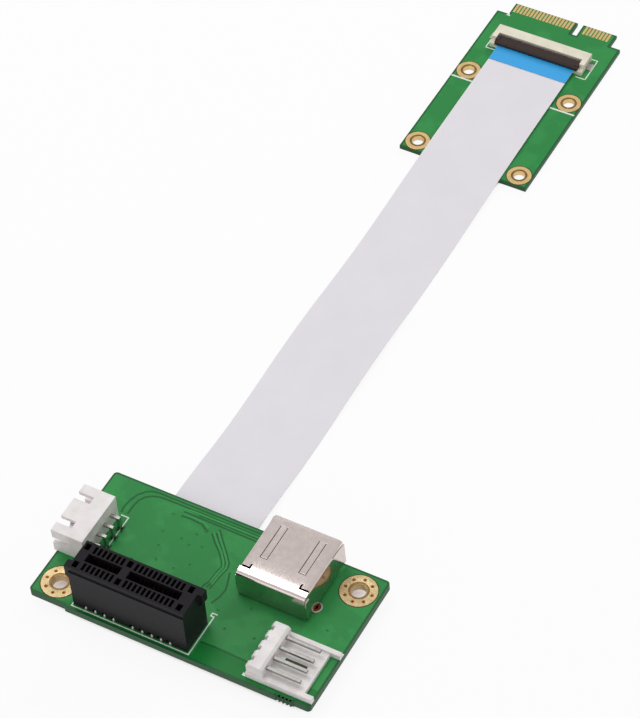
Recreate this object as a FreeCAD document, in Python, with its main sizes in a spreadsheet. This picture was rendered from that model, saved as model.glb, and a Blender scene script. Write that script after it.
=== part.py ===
import FreeCAD, Part

# Expansion riser: a base board and a small edge card joined by a flat ribbon cable.
#
# Millimetres. +X runs to the right along the base board's front edge, +Y runs from the base
# board towards the edge card, and +Z is up from the surface that the assembly lies on.
import math
import os
import re

import Sketcher
from FreeCAD import Placement, Rotation, Vector

# ------------------------------------------------------------------ driving dimensions
SIZES = [
    # two boards and where they lie
    ("base_width", "61", "base board, left to right"),
    ("base_depth", "32.4", "base board, front to back"),
    ("base_thick", "1.6", "base board laminate"),
    ("base_corner", "0.8", "radius of the base board's corners"),
    ("edge_step", "0.4", "board ends set back from the broken-off front edge"),
    ("edge_step_left", "7.9", "where the front edge steps out, from the left"),
    ("edge_step_right", "3.2", "where it steps back, from the right side"),
    ("mini_width", "30", "edge card, left to right"),
    ("mini_length", "50.95", "edge card, cable end to finger tips"),
    ("mini_thick", "1", "edge card laminate"),
    ("mini_left", "7.1", "edge card's left side from the base board's left side"),
    ("mini_front", "138.2", "edge card's cable end from the base board's front edge"),
    ("copper", "0.05", "thickness of plated pads and rings"),
    ("board_gap", "=socket_height", "base board's underside above the surface"),
    ("base_top", "=board_gap + base_thick", "base board's upper face"),
    ("mini_top", "=copper + mini_thick", "edge card's upper face"),
    ("frame_left", "=-(base_width - header_overhang) / 2", "base board's left side in the frame"),
    ("frame_front", "=-(mini_front + mini_length) / 2", "base board's front edge in the frame"),
    # fixing holes
    ("base_hole_radius", "1.6", "hole for an M3 screw"),
    ("base_ring_radius", "4", "copper ring round that hole"),
    ("base_hole_inset", "4.5", "hole centre from both nearest board edges"),
    ("mini_hole_radius", "1.3", "hole for an M2.5 screw"),
    ("mini_ring_radius", "2.8", "copper ring round that hole"),
    ("mini_hole_inset", "2.9", "hole centre from the card's sides and cable end"),
    ("mini_hole_rows", "24.15", "full-length row to half-length row"),
    ("bite_radius", "0.25", "break-off drill at the board's front edge"),
    ("bite_pitch", "0.8", "between break-off drills"),
    ("bite_count", "5", "break-off drills in the group"),
    ("bite_from_right", "6.7", "first break-off drill from the right side"),
    # edge card's finger tab
    ("tab_deep", "4", "tab beyond the card's shoulders"),
    ("tab_left", "2.8", "left shoulder width"),
    ("tab_right", "2.6", "right shoulder width"),
    ("notch_left", "17.9", "key notch's left side from the card's left side"),
    ("notch_wide", "1.5", "key notch width"),
    ("notch_deep", "4", "key notch depth"),
    ("tip_bevel", "0.25", "bevel at the tab's tip"),
    ("finger_pitch", "0.8", "between contact fingers"),
    ("finger_wide", "0.55", "contact finger width"),
    ("finger_long", "2.6", "contact finger length"),
    ("finger_inset", "0.35", "finger end from the card's tip"),
    ("finger_first_long", "3.5", "first finger left of the key"),
    ("finger_first_short", "20.5", "first finger right of the key"),
    ("finger_count_long", "18", "fingers left of the key on each face"),
    ("finger_count_short", "8", "fingers right of the key on each face"),
    # one-lane slot connector
    ("slot_left", "9.6", "slot body's left end"),
    ("slot_front", "1.25", "slot body's front face"),
    ("slot_length", "25", "slot body length"),
    ("slot_width", "7.5", "slot body width"),
    ("slot_height", "11.25", "slot body height"),
    ("slot_rim_step", "0.25", "step below the upper rim"),
    ("slot_rim_height", "1.3", "upper rim band"),
    ("slot_centre", "=slot_front + slot_width / 2", "middle plane of the slot"),
    ("slot_top", "=base_top + slot_height", "slot body's upper face"),
    ("channel_wide", "1.9", "card channel width"),
    ("channel_deep", "8", "card channel depth"),
    ("channel_margin", "0.7", "channel beyond the outermost contacts"),
    ("contact_first", "2.7", "first contact from the body's left end"),
    ("contact_pitch", "1", "between contacts"),
    ("contact_key_gap", "3", "between the contacts each side of the key"),
    ("contact_count_left", "7", "contacts left of the key in each row"),
    ("contact_count_right", "11", "contacts right of the key in each row"),
    ("key_margin", "0.65", "channel beyond the contacts beside the key"),
    ("group_left", "=slot_left + contact_first", "first contact left of the key"),
    ("group_left_end", "=group_left + contact_pitch * (contact_count_left - 1)", ""),
    ("group_right", "=group_left_end + contact_key_gap", "first contact right of the key"),
    ("group_right_end", "=group_right + contact_pitch * (contact_count_right - 1)", ""),
    ("cell_wide", "0.6", "contact cell, along the slot"),
    ("cell_outer", "3", "cell's outer wall from the middle plane"),
    ("cell_web", "0.3", "web between cell and channel"),
    ("cell_web_high", "1.2", "height of that web"),
    ("cell_window_low", "3.6", "foot of the window into the channel, above the board"),
    ("cell_foot_high", "2.4", "wide foot of the cell"),
    ("cell_foot_outer", "3.4", "foot's outer wall from the middle plane"),
    ("cell_foot_inner", "0.6", "foot's inner wall from the middle plane"),
    ("foot_notch_high", "1.1", "notch over an outer tail"),
    ("end_pocket_wide", "1.1", "moulding pocket beyond the contacts"),
    ("end_pocket_deep", "2.5", "depth of that pocket"),
    ("end_pocket_long", "1.5", "that pocket, across the slot"),
    ("end_pocket_gap", "1.75", "pocket centre from the outermost contact"),
    ("peg_radius", "0.85", "board peg"),
    ("peg_inset", "1.6", "peg centre from the body's ends"),
    ("lug_out", "0.9", "corner lug beyond the body's end"),
    ("lug_wide", "1.7", "corner lug along the body's end"),
    ("lug_high", "3.6", "corner lug height"),
    ("contact_wide", "0.4", "slot contact width"),
    ("contact_thick", "0.25", "slot contact thickness"),
    ("tail_half", "0.15", "half the thickness of a tail"),
    ("tail_outer", "3", "outer row of tails from the middle plane"),
    ("tail_inner", "1", "inner row of tails from the middle plane"),
    ("tail_below", "0.9", "tails beyond the board's underside"),
    ("beam_outer", "2.45", "contact beam's outer face from the middle plane"),
    ("nose_reach", "0.2", "contact nose into the channel"),
    ("nose_high", "7.8", "contact nose above the board"),
    ("tip_high", "9.6", "contact tip above the board"),
    ("tip_outer", "1.65", "contact tip's outer face from the middle plane"),
    ("strip_low", "0.7", "strip between tail and beam, above the board"),
    ("hole_clear", "0.1", "clearance round pegs, legs and pins in the board"),
    # USB receptacle
    ("usb_from_right", "17.3", "receptacle's middle from the right side"),
    ("usb_centre", "=base_width - usb_from_right", "receptacle's middle"),
    ("usb_front", "17.2", "rear cover's outer face"),
    ("usb_width", "14.8", "shell width"),
    ("usb_length", "15.1", "rear cover to mouth"),
    ("usb_height", "7", "shell height"),
    ("usb_sheet", "0.3", "shell sheet"),
    ("usb_corner", "0.7", "shell's fold radius"),
    ("usb_lip_long", "1.4", "flared lip length"),
    ("usb_lip_out", "0.35", "flare of the lips"),
    ("usb_lip_gap", "1.1", "lip ends from the shell's corners"),
    ("usb_left", "=usb_centre - usb_width / 2", ""),
    ("usb_back", "=usb_front + usb_length", "mouth plane"),
    ("usb_top", "=base_top + usb_height", ""),
    ("usb_tube", "=usb_front + usb_sheet", "rear end of the folded tube"),
    ("usb_lip_line", "=usb_back - usb_lip_long", "where the lips begin"),
    ("spring_wide", "1.3", "spring finger width"),
    ("spring_long", "8.2", "spring finger length"),
    ("spring_slit", "0.2", "slit round a spring finger"),
    ("spring_dip", "0.3", "how far a finger bends inwards"),
    ("spring_root", "1.8", "finger root from the mouth"),
    ("spring_offset", "4.15", "finger from the shell's middle"),
    ("flap_deep", "1.9", "rear cover's flap over the roof"),
    ("flap_drop", "0.45", "fall of the flap towards the rear"),
    ("relief_wide", "0.4", "slit beside the flap"),
    ("relief_in", "1", "slit from the shell's side"),
    ("leg_wide", "2", "shell leg, along the shell"),
    ("leg_from_front", "3.8", "leg's middle from the rear cover"),
    ("leg_below", "1.2", "leg beyond the board's underside"),
    ("leg_line", "=usb_front + leg_from_front", ""),
    ("tongue_wide", "11.1", "insulator tongue width"),
    ("tongue_thick", "1.8", "insulator tongue thickness"),
    ("tongue_long", "8.2", "insulator tongue length"),
    ("tongue_top_gap", "0.7", "tongue below the shell's inner roof"),
    ("core_deep", "3.2", "insulator core, front to back"),
    ("core_gap", "2.2", "space between rear cover and core"),
    ("usb_pin_wide", "1", "USB contact width"),
    ("usb_pin_thick", "0.3", "USB contact thickness"),
    ("usb_pin_near", "1", "inner contacts from the middle"),
    ("usb_pin_far", "3.5", "outer contacts from the middle"),
    ("core_rear", "=usb_tube + core_gap", "core's rear face"),
    ("tongue_low", "=usb_top - usb_sheet - tongue_top_gap - tongue_thick", ""),
    ("usb_tail_line", "=core_rear - usb_pin_thick / 2", "USB contact tails"),
    # right-angle power connector
    ("power_from_right", "14", "block's left face from the board's right side"),
    ("power_left", "=base_width - power_from_right", "block's left face"),
    ("power_front", "1.2", "front rail's outer face"),
    ("power_width", "12", "overall width"),
    ("power_floor_long", "12", "floor plate, block included"),
    ("power_rail_long", "=power_from_right", "side rails, block to board edge"),
    ("power_rail_wide", "1", "side rail width"),
    ("power_rail_high", "1.3", "side rail height"),
    ("power_floor", "0.9", "floor thickness"),
    ("power_block", "3.5", "block thickness"),
    ("power_block_high", "3.6", "block height"),
    ("power_bevel", "0.5", "bevel on the block's upper edges"),
    ("power_pitch", "2.54", "between power pins"),
    ("power_pin", "0.64", "square pin"),
    ("power_pin_high", "2.3", "pin axis above the board"),
    ("power_pin_reach", "7.2", "pin beyond the block"),
    ("power_notch", "1.1", "pin notch in the block's back"),
    ("power_notch_deep", "0.9", "depth of that notch"),
    ("window_long", "4.6", "latch window, along the pins"),
    ("window_wide", "1.2", "latch window width"),
    ("window_from_block", "1.6", "window from the block"),
    ("tail_long", "=board_gap", "header tails reach the surface"),
    ("power_middle", "=power_front + power_width / 2", ""),
    ("power_tail_line", "=power_left + 0.1 + power_pin / 2", "legs of the power pins"),
    # side-entry board header
    ("header_overhang", "0.6", "mouth beyond the board's left side"),
    ("header_front", "10.7", "header's front end"),
    ("header_width", "12.4", "header, end to end"),
    ("header_deep", "7", "header, mouth to back"),
    ("header_height", "6.1", "header height"),
    ("header_wall", "0.8", "header wall"),
    ("header_back_wall", "1.2", "header's back wall"),
    ("header_pitch", "2.5", "between header pins"),
    ("header_pin", "0.64", "square pin"),
    ("header_pin_high", "3.1", "pin axis above the board"),
    ("header_pin_inset", "1.1", "pin tip inside the mouth"),
    ("header_pin_back", "1.8", "bent leg behind the back wall"),
    ("header_slot_wide", "1.7", "lock slot in the upper wall"),
    ("header_slot_long", "3.4", "lock slot length"),
    ("header_slot_inset", "2.1", "lock slot from the header's ends"),
    ("header_side_slot", "1.6", "slot in each end wall"),
    ("header_middle", "=header_front + header_width / 2", ""),
    ("header_back", "=header_deep - header_overhang", "back wall's outer face"),
    ("header_tail_line", "=header_back + header_pin_back", "legs of the header pins"),
    # flat cable
    ("cable_centre", "21.8", "cable's middle from the base board's left side"),
    ("cable_wide", "18.5", "cable width"),
    ("cable_thick", "0.15", "cable film"),
    ("stiffener_thick", "0.15", "backing film at the cable's ends"),
    ("stiffener_long", "8.7", "backing film length"),
    # cable sockets with a flip lock
    ("base_mouth", "26.4", "base socket's mouth from the board's front edge"),
    ("mini_mouth", "35.9", "card socket's mouth from the card's cable end"),
    ("socket_width", "22.4", "socket housing, end to end"),
    ("socket_deep", "5.4", "socket housing, mouth to back"),
    ("socket_height", "2", "socket height"),
    ("socket_floor", "0.45", "socket floor's upper face above the board"),
    ("socket_bay", "2.9", "lock bay, mouth to rear block"),
    ("socket_end", "1.15", "end wall"),
    ("socket_end_low", "1", "end wall height beside the mouth"),
    ("socket_end_step", "1.3", "end wall step from the mouth"),
    ("socket_side_clear", "0.1", "cable clearance at each side"),
    ("entry_high", "0.4", "cable entry height"),
    ("entry_deep", "1.6", "cable entry into the rear block"),
    ("cable_level", "=socket_floor + 0.03", "cable's lower face above the board"),
    ("lock_axis_deep", "2.1", "lock pivot from the mouth"),
    ("lock_radius", "0.5", "lock bar's rounded back"),
    ("lock_axis_high", "1.35", "lock pivot above the board"),
    ("lock_clear", "0.05", "lock bar's end clearance"),
    ("trunnion_radius", "0.25", "lock pivot pin"),
    ("trunnion_long", "0.7", "lock pivot pin length"),
    ("trunnion_clear", "0.05", "pivot clearance"),
    ("ear_wide", "0.8", "raised ear on the lock bar"),
    ("ear_high", "0.15", "ear above the bar"),
    ("socket_pitch", "0.5", "between socket contacts"),
    ("socket_count", "36", "socket contacts"),
    ("lead_wide", "0.2", "socket contact width"),
    ("lead_thick", "0.13", "socket contact thickness"),
    ("lead_out", "0.9", "soldered foot behind the housing"),
    ("lead_tip_gap", "0.3", "contact nose from the trough's front"),
    ("lead_window", "1.5", "trough for the leads, from the mouth"),
    ("lead_rise", "0.8", "sloping part of the lead"),
    ("clamp_out", "1.1", "hold-down foot beyond the housing"),
    ("clamp_long", "2", "hold-down length"),
    ("clamp_thick", "0.15", "hold-down sheet"),
    ("clamp_high", "0.9", "hold-down riser height"),
    ("clamp_deep", "2.2", "hold-down from the mouth"),
]

doc = FreeCAD.newDocument("riser")
sheet = doc.addObject("Spreadsheet::Sheet", "Sizes")
for row, (alias, content, note) in enumerate(SIZES, start=1):
    sheet.setAlias("B%d" % row, alias)
for row, (alias, content, note) in enumerate(SIZES, start=1):
    sheet.set("A%d" % row, alias)
    sheet.set("B%d" % row, content)
    sheet.set("C%d" % row, note)
doc.recompute()
ALIASES = {alias for alias, content, note in SIZES}

BASE = ("frame_left", "frame_front", "0")
MINI = ("frame_left + mini_left", "frame_front + mini_front", "0")
parts = []


# ------------------------------------------------------------------ helpers
def sized(expression):
    """Put the sheet's name before each of its aliases in an expression."""
    def prefix(match):
        word = match.group(0)
        return "Sizes." + word if word in ALIASES else word
    return re.sub(r"[a-z_]+[a-z0-9_]*", prefix, expression)


def bind(thing, prop, expression):
    thing.setExpression(prop, sized(expression))


def value(alias):
    return float(getattr(sheet, alias))


def place(thing, corner):
    """Tie an object's position to the sheet."""
    for axis, expression in zip("xyz", corner):
        bind(thing, "Placement.Base." + axis, expression)


def finish(thing, label, corner):
    """Name a finished sub-part, place it and list it for export."""
    thing.Label = label
    place(thing, corner)
    parts.append(thing)
    return thing


def new_body(name):
    return doc.addObject("PartDesign::Body", name)


def origin_feature(body, role):
    return next(item for item in body.Origin.OriginFeatures if item.Role == role)


def new_sketch(body, name, role="XY_Plane", level="0"):
    """A sketch on one of the body's own planes, level being its distance along the normal."""
    sketch = body.newObject("Sketcher::SketchObject", name)
    sketch.AttachmentSupport = [(origin_feature(body, role), "")]
    sketch.MapMode = "FlatFace"
    bind(sketch, "AttachmentOffset.Base.z", level)
    return sketch


def pin_point(sketch, geometry, point, across, up):
    """Fix one point of a sketch at two expressions from its origin."""
    for kind, letter, expression in (("DistanceX", "x", across), ("DistanceY", "y", up)):
        index = sketch.addConstraint(Sketcher.Constraint(kind, -1, 1, geometry, point, 1.0))
        name = "%s%d" % (letter, geometry)
        sketch.renameConstraint(index, name)
        bind(sketch, "Constraints." + name, expression)


def outline(sketch, corners):
    """A closed outline of straight edges through corners given as expressions."""
    first = sketch.GeometryCount
    count = len(corners)
    ring = [Vector(math.cos(2 * math.pi * i / count), math.sin(2 * math.pi * i / count), 0)
            for i in range(count)]
    for i in range(count):
        sketch.addGeometry(Part.LineSegment(ring[i], ring[(i + 1) % count]), False)
    for i in range(count):
        following = first + (i + 1) % count
        sketch.addConstraint(Sketcher.Constraint("Coincident", first + i, 2, following, 1))
    for i, (across, up) in enumerate(corners):
        pin_point(sketch, first + i, 1, across, up)


def rectangle(sketch, left, low, right, high):
    outline(sketch, [(left, low), (right, low), (right, high), (left, high)])


def around(sketch, across, up, wide, high):
    """A rectangular board hole with clearance all round a pin of that section."""
    reach = "((%s) / 2 + hole_clear)" % wide
    rise = "((%s) / 2 + hole_clear)" % high
    rectangle(sketch, "%s - %s" % (across, reach), "%s - %s" % (up, rise),
              "%s + %s" % (across, reach), "%s + %s" % (up, rise))


def circle(sketch, across, up, radius):
    index = sketch.addGeometry(Part.Circle(Vector(0, 0, 0), Vector(0, 0, 1), 1.0), False)
    pin_point(sketch, index, 3, across, up)
    number = sketch.addConstraint(Sketcher.Constraint("Radius", index, 1.0))
    name = "r%d" % index
    sketch.renameConstraint(number, name)
    bind(sketch, "Constraints." + name, radius)


def pad(body, sketch, length, reverse=False, centred=False):
    feature = body.newObject("PartDesign::Pad", sketch.Name + "_pad")
    feature.Profile = sketch
    bind(feature, "Length", length)
    feature.Reversed = reverse
    feature.Midplane = centred
    body.Tip = feature
    return feature


def pocket(body, sketch, length, reverse=False, centred=False):
    feature = body.newObject("PartDesign::Pocket", sketch.Name + "_cut")
    feature.Profile = sketch
    bind(feature, "Length", length)
    feature.Reversed = reverse
    feature.Midplane = centred
    body.Tip = feature
    return feature


def repeat(body, feature, role, pitch, count):
    """A linear pattern of one feature along one of the body's own axes."""
    pattern = body.newObject("PartDesign::LinearPattern", feature.Name + "_row")
    pattern.Originals = [feature]
    pattern.Direction = (origin_feature(body, role), [""])
    bind(pattern, "Length", "(%s) * ((%s) - 1)" % (pitch, count))
    bind(pattern, "Occurrences", count)
    body.Tip = pattern
    return pattern


def edges_where(shape, test):
    return ["Edge%d" % (i + 1) for i, edge in enumerate(shape.Edges) if test(edge)]


def along(edge, axis):
    """True for a straight edge that runs along one axis."""
    ends = [vertex.Point for vertex in edge.Vertexes]
    if len(ends) != 2 or not isinstance(edge.Curve, (Part.Line, Part.LineSegment)):
        return False
    return abs(abs((ends[1] - ends[0]).normalize().dot(axis)) - 1) < 1e-6


def fillet(body, test, radius):
    """Round the tip's edges that pass a test."""
    doc.recompute()
    tip = body.Tip
    feature = body.newObject("PartDesign::Fillet", tip.Name + "_round")
    feature.Base = (tip, edges_where(tip.Shape, test))
    bind(feature, "Radius", radius)
    body.Tip = feature
    return feature


def chamfer(body, test, size):
    """Bevel the tip's edges that pass a test."""
    doc.recompute()
    tip = body.Tip
    feature = body.newObject("PartDesign::Chamfer", tip.Name + "_bevel")
    feature.Base = (tip, edges_where(tip.Shape, test))
    bind(feature, "Size", size)
    body.Tip = feature
    return feature


def box(name, corner, size):
    """A plain block whose corner and size are expressions."""
    block = doc.addObject("Part::Box", name)
    for prop, expression in zip(("Length", "Width", "Height"), size):
        bind(block, prop, expression)
    place(block, corner)
    return block


X = Vector(1, 0, 0)
Y = Vector(0, 1, 0)
Z = Vector(0, 0, 1)


# ------------------------------------------------------------------ base board
def slot_tail_groups():
    """First tail, count and row offset of each staggered row of slot tails."""
    return [
        ("left_outer", "group_left", "ceil(contact_count_left / 2)", "tail_outer"),
        ("left_inner", "group_left + contact_pitch", "floor(contact_count_left / 2)", "tail_inner"),
        ("right_outer", "group_right + contact_pitch", "floor(contact_count_right / 2)",
         "tail_outer"),
        ("right_inner", "group_right", "ceil(contact_count_right / 2)", "tail_inner"),
    ]


def base_board():
    body = new_body("base_board")
    plate = new_sketch(body, "base_plate", level="board_gap")
    outline(plate, [
        ("0", "edge_step"), ("edge_step_left", "edge_step"), ("edge_step_left + edge_step", "0"),
        ("base_width - edge_step_right - edge_step", "0"),
        ("base_width - edge_step_right", "edge_step"), ("base_width", "edge_step"),
        ("base_width", "base_depth"), ("0", "base_depth"),
    ])
    pad(body, plate, "base_thick")
    right = value("base_width")

    def at_a_corner(edge):
        return along(edge, Z) and min(edge.CenterOfMass.x, right - edge.CenterOfMass.x) < 0.01
    fillet(body, at_a_corner, "base_corner")

    holes = new_sketch(body, "base_fixings", level="base_top")
    circle(holes, "base_hole_inset", "base_hole_inset", "base_hole_radius")
    circle(holes, "base_width - base_hole_inset", "base_depth - base_hole_inset",
           "base_hole_radius")
    for across in ("slot_left + peg_inset", "slot_left + slot_length - peg_inset"):
        circle(holes, across, "slot_centre", "peg_radius + hole_clear")
    for across in ("- usb_pin_far", "- usb_pin_near", "+ usb_pin_near", "+ usb_pin_far"):
        around(holes, "usb_centre " + across, "usb_tail_line", "usb_pin_wide", "usb_pin_thick")
    for side in ("usb_left - hole_clear", "usb_left + usb_width - usb_sheet - hole_clear"):
        rectangle(holes, side, "leg_line - leg_wide / 2 - hole_clear",
                  side + " + usb_sheet + 2 * hole_clear",
                  "leg_line + leg_wide / 2 + hole_clear")
    for step in range(4):
        around(holes, "power_tail_line", "power_middle + power_pitch * %s" % (step - 1.5),
               "power_pin", "power_pin")
        around(holes, "header_tail_line", "header_middle + header_pitch * %s" % (step - 1.5),
               "header_pin", "header_pin")
    pocket(body, holes, "base_thick")

    for name, first, count, row in slot_tail_groups():
        tails = new_sketch(body, "base_" + name, level="base_top")
        for side in ("-", "+"):
            around(tails, first, "slot_centre %s %s" % (side, row), "contact_wide",
                   "2 * tail_half")
        repeat(body, pocket(body, tails, "base_thick"), "X_Axis", "2 * contact_pitch", count)

    bites = new_sketch(body, "base_bites", level="base_top")
    circle(bites, "base_width - bite_from_right", "0", "bite_radius")
    repeat(body, pocket(body, bites, "base_thick"), "X_Axis", "bite_pitch", "bite_count")
    return finish(body, "base_board", BASE)


# ------------------------------------------------------------------ copper pads at the holes
def hole_pads(name, centres, level, hole, ring, corner):
    """A flat copper ring round each fixing hole on the upper face of a board."""
    body = new_body(name)
    rings = new_sketch(body, name + "_rings", level=level)
    for across, deep in centres:
        circle(rings, across, deep, hole)
        circle(rings, across, deep, ring)
    pad(body, rings, "copper")
    return finish(body, name, corner)


def base_hole_pads():
    far = ("base_width - base_hole_inset", "base_depth - base_hole_inset")
    centres = [("base_hole_inset", "base_hole_inset"), far]
    return hole_pads("base_hole_pads", centres, "base_top", "base_hole_radius",
                     "base_ring_radius", BASE)


def mini_hole_pads():
    centres = [(across, deep)
               for across in ("mini_hole_inset", "mini_width - mini_hole_inset")
               for deep in ("mini_hole_inset", "mini_hole_inset + mini_hole_rows")]
    return hole_pads("mini_hole_pads", centres, "mini_top", "mini_hole_radius",
                     "mini_ring_radius", MINI)


# ------------------------------------------------------------------ edge card
def mini_board():
    body = new_body("mini_board")
    plate = new_sketch(body, "mini_plate", level="copper")
    shoulder = "mini_length - tab_deep"
    notch_right = "notch_left + notch_wide"
    notch_foot = "mini_length - notch_deep"
    outline(plate, [
        ("0", "0"), ("mini_width", "0"), ("mini_width", shoulder),
        ("mini_width - tab_right", shoulder), ("mini_width - tab_right", "mini_length"),
        (notch_right, "mini_length"), (notch_right, notch_foot),
        ("notch_left", notch_foot), ("notch_left", "mini_length"),
        ("tab_left", "mini_length"), ("tab_left", shoulder), ("0", shoulder),
    ])
    pad(body, plate, "mini_thick")
    tip = value("mini_length")
    chamfer(body, lambda edge: along(edge, X) and edge.CenterOfMass.y > tip - 0.01, "tip_bevel")

    holes = new_sketch(body, "mini_fixings", level="mini_top")
    for across in ("mini_hole_inset", "mini_width - mini_hole_inset"):
        for deep in ("mini_hole_inset", "mini_hole_inset + mini_hole_rows"):
            circle(holes, across, deep, "mini_hole_radius")
    pocket(body, holes, "mini_thick")
    return finish(body, "mini_board", MINI)


def edge_fingers(name, level):
    """Gold contact fingers on one face of the tab, in two groups beside the key notch."""
    body = new_body(name)
    far = "mini_length - finger_inset"
    near = "mini_length - finger_inset - finger_long"
    for group in ("long", "short"):
        strip = new_sketch(body, "%s_%s" % (name, group), level=level)
        first = "finger_first_" + group
        rectangle(strip, first + " - finger_wide / 2", near, first + " + finger_wide / 2", far)
        repeat(body, pad(body, strip, "copper"), "X_Axis", "finger_pitch",
               "finger_count_" + group)
    return finish(body, name, MINI)


# ------------------------------------------------------------------ slot connector
CONTACT_GROUPS = [
    ("left", "group_left", "contact_count_left"),
    ("right", "group_right", "contact_count_right"),
]


def slot_housing():
    """A keyed card slot: a row of contact cells each side of a channel, open below and above.

    Each cell has a wide foot for its contact's tail, a window through which the contact's
    nose reaches the channel, and a web that ties the channel wall together above it.
    """
    body = new_body("slot_housing")
    front = "slot_front"
    back = "slot_front + slot_width"
    rim = "slot_top - slot_rim_height"
    block = new_sketch(body, "slot_block", "YZ_Plane", "slot_left")
    outline(block, [
        (front, "base_top"), (back, "base_top"), (back, rim), (back + " - slot_rim_step", rim),
        (back + " - slot_rim_step", "slot_top"), (front + " + slot_rim_step", "slot_top"),
        (front + " + slot_rim_step", rim), (front, rim),
    ])
    pad(body, block, "slot_length")

    lugs = [
        ("left", "slot_left", "-", "slot_front + slot_rim_step + lug_wide"),
        ("right", "slot_left + slot_length", "+", "slot_front + slot_width - slot_rim_step"),
    ]
    for name, wall, out, far in lugs:
        lug = new_sketch(body, "slot_lug_" + name, "XZ_Plane", "-(%s)" % far)
        outline(lug, [
            (wall, "slot_top"), (wall, "slot_top - lug_high"),
            ("%s %s lug_out" % (wall, out), "slot_top - lug_high + lug_out"),
            ("%s %s lug_out" % (wall, out), "slot_top"),
        ])
        pad(body, lug, "lug_wide")

    pegs = new_sketch(body, "slot_pegs", level="base_top")
    circle(pegs, "slot_left + peg_inset", "slot_centre", "peg_radius")
    circle(pegs, "slot_left + slot_length - peg_inset", "slot_centre", "peg_radius")
    pad(body, pegs, "base_thick", reverse=True)

    channel = new_sketch(body, "slot_channel", level="slot_top")
    low = "slot_centre - channel_wide / 2"
    high = "slot_centre + channel_wide / 2"
    rectangle(channel, "group_left - channel_margin", low, "group_left_end + key_margin", high)
    rectangle(channel, "group_right - key_margin", low, "group_right_end + channel_margin", high)
    pocket(body, channel, "channel_deep")

    for name, first, count in CONTACT_GROUPS:
        cell = new_sketch(body, "slot_cell_" + name, "YZ_Plane", first)
        for side in ("-", "+"):
            web = "channel_wide / 2 + cell_web"
            corners = [
                ("cell_outer", "slot_top"),
                ("cell_outer", "base_top + cell_foot_high"),
                ("cell_foot_outer", "base_top + cell_foot_high"),
                ("cell_foot_outer", "base_top"),
                ("cell_foot_inner", "base_top"),
                ("cell_foot_inner", "base_top + cell_foot_high"),
                (web, "base_top + cell_foot_high"),
                (web, "base_top + cell_window_low"),
                ("channel_wide / 4", "base_top + cell_window_low"),
                ("channel_wide / 4", "slot_top - cell_web_high"),
                (web, "slot_top - cell_web_high"),
                (web, "slot_top"),
            ]
            outline(cell, [("slot_centre %s (%s)" % (side, across), up)
                           for across, up in corners])
        cut = pocket(body, cell, "cell_wide", centred=True)
        repeat(body, cut, "X_Axis", "contact_pitch", count)

    pockets = new_sketch(body, "slot_end_pockets", level="slot_top")
    middles = ["group_left - end_pocket_gap", "(group_left_end + group_right) / 2",
               "group_right_end + end_pocket_gap"]
    for middle in middles:
        for side in ("-", "+"):
            outer = "slot_centre %s cell_outer" % side
            inner = "slot_centre %s (cell_outer - end_pocket_long)" % side
            rectangle(pockets, middle + " - end_pocket_wide / 2", outer,
                      middle + " + end_pocket_wide / 2", inner)
    pocket(body, pockets, "end_pocket_deep")

    for name, first, count, row in slot_tail_groups():
        if row != "tail_outer":
            continue
        notch = new_sketch(body, "slot_notch_" + name, level="base_top")
        for wall, side in (("slot_front", "-"), ("slot_front + slot_width", "+")):
            rectangle(notch, first + " - cell_wide / 2", wall, first + " + cell_wide / 2",
                      "slot_centre %s cell_outer" % side)
        cut = pocket(body, notch, "foot_notch_high", reverse=True)
        repeat(body, cut, "X_Axis", "2 * contact_pitch", count)
    return finish(body, "slot_housing", BASE)


def slot_contacts():
    """Spring contacts: a tail through the board, a strip, a beam and a nose in the channel."""
    body = new_body("slot_contacts")
    nose = "channel_wide / 2 - nose_reach"
    low = "base_top + strip_low"
    high = "base_top + strip_low + 2 * tail_half"
    for name, first, count, row in slot_tail_groups():
        near, far = (low, high) if row == "tail_outer" else (high, low)
        corners = [
            (row + " + tail_half", "board_gap - tail_below"),
            (row + " - tail_half", "board_gap - tail_below"),
            (row + " - tail_half", near),
            ("beam_outer - contact_thick", near),
            (nose, "base_top + nose_high"),
            ("tip_outer - contact_thick", "base_top + tip_high"),
            ("tip_outer", "base_top + tip_high"),
            (nose + " + contact_thick", "base_top + nose_high"),
            ("beam_outer", far),
            (row + " + tail_half", far),
        ]
        leaf = new_sketch(body, "contact_" + name, "YZ_Plane", first)
        for side in ("-", "+"):
            outline(leaf, [("slot_centre %s (%s)" % (side, across), up)
                           for across, up in corners])
        repeat(body, pad(body, leaf, "contact_wide", centred=True), "X_Axis",
               "2 * contact_pitch", count)
    return finish(body, "slot_contacts", BASE)


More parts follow.
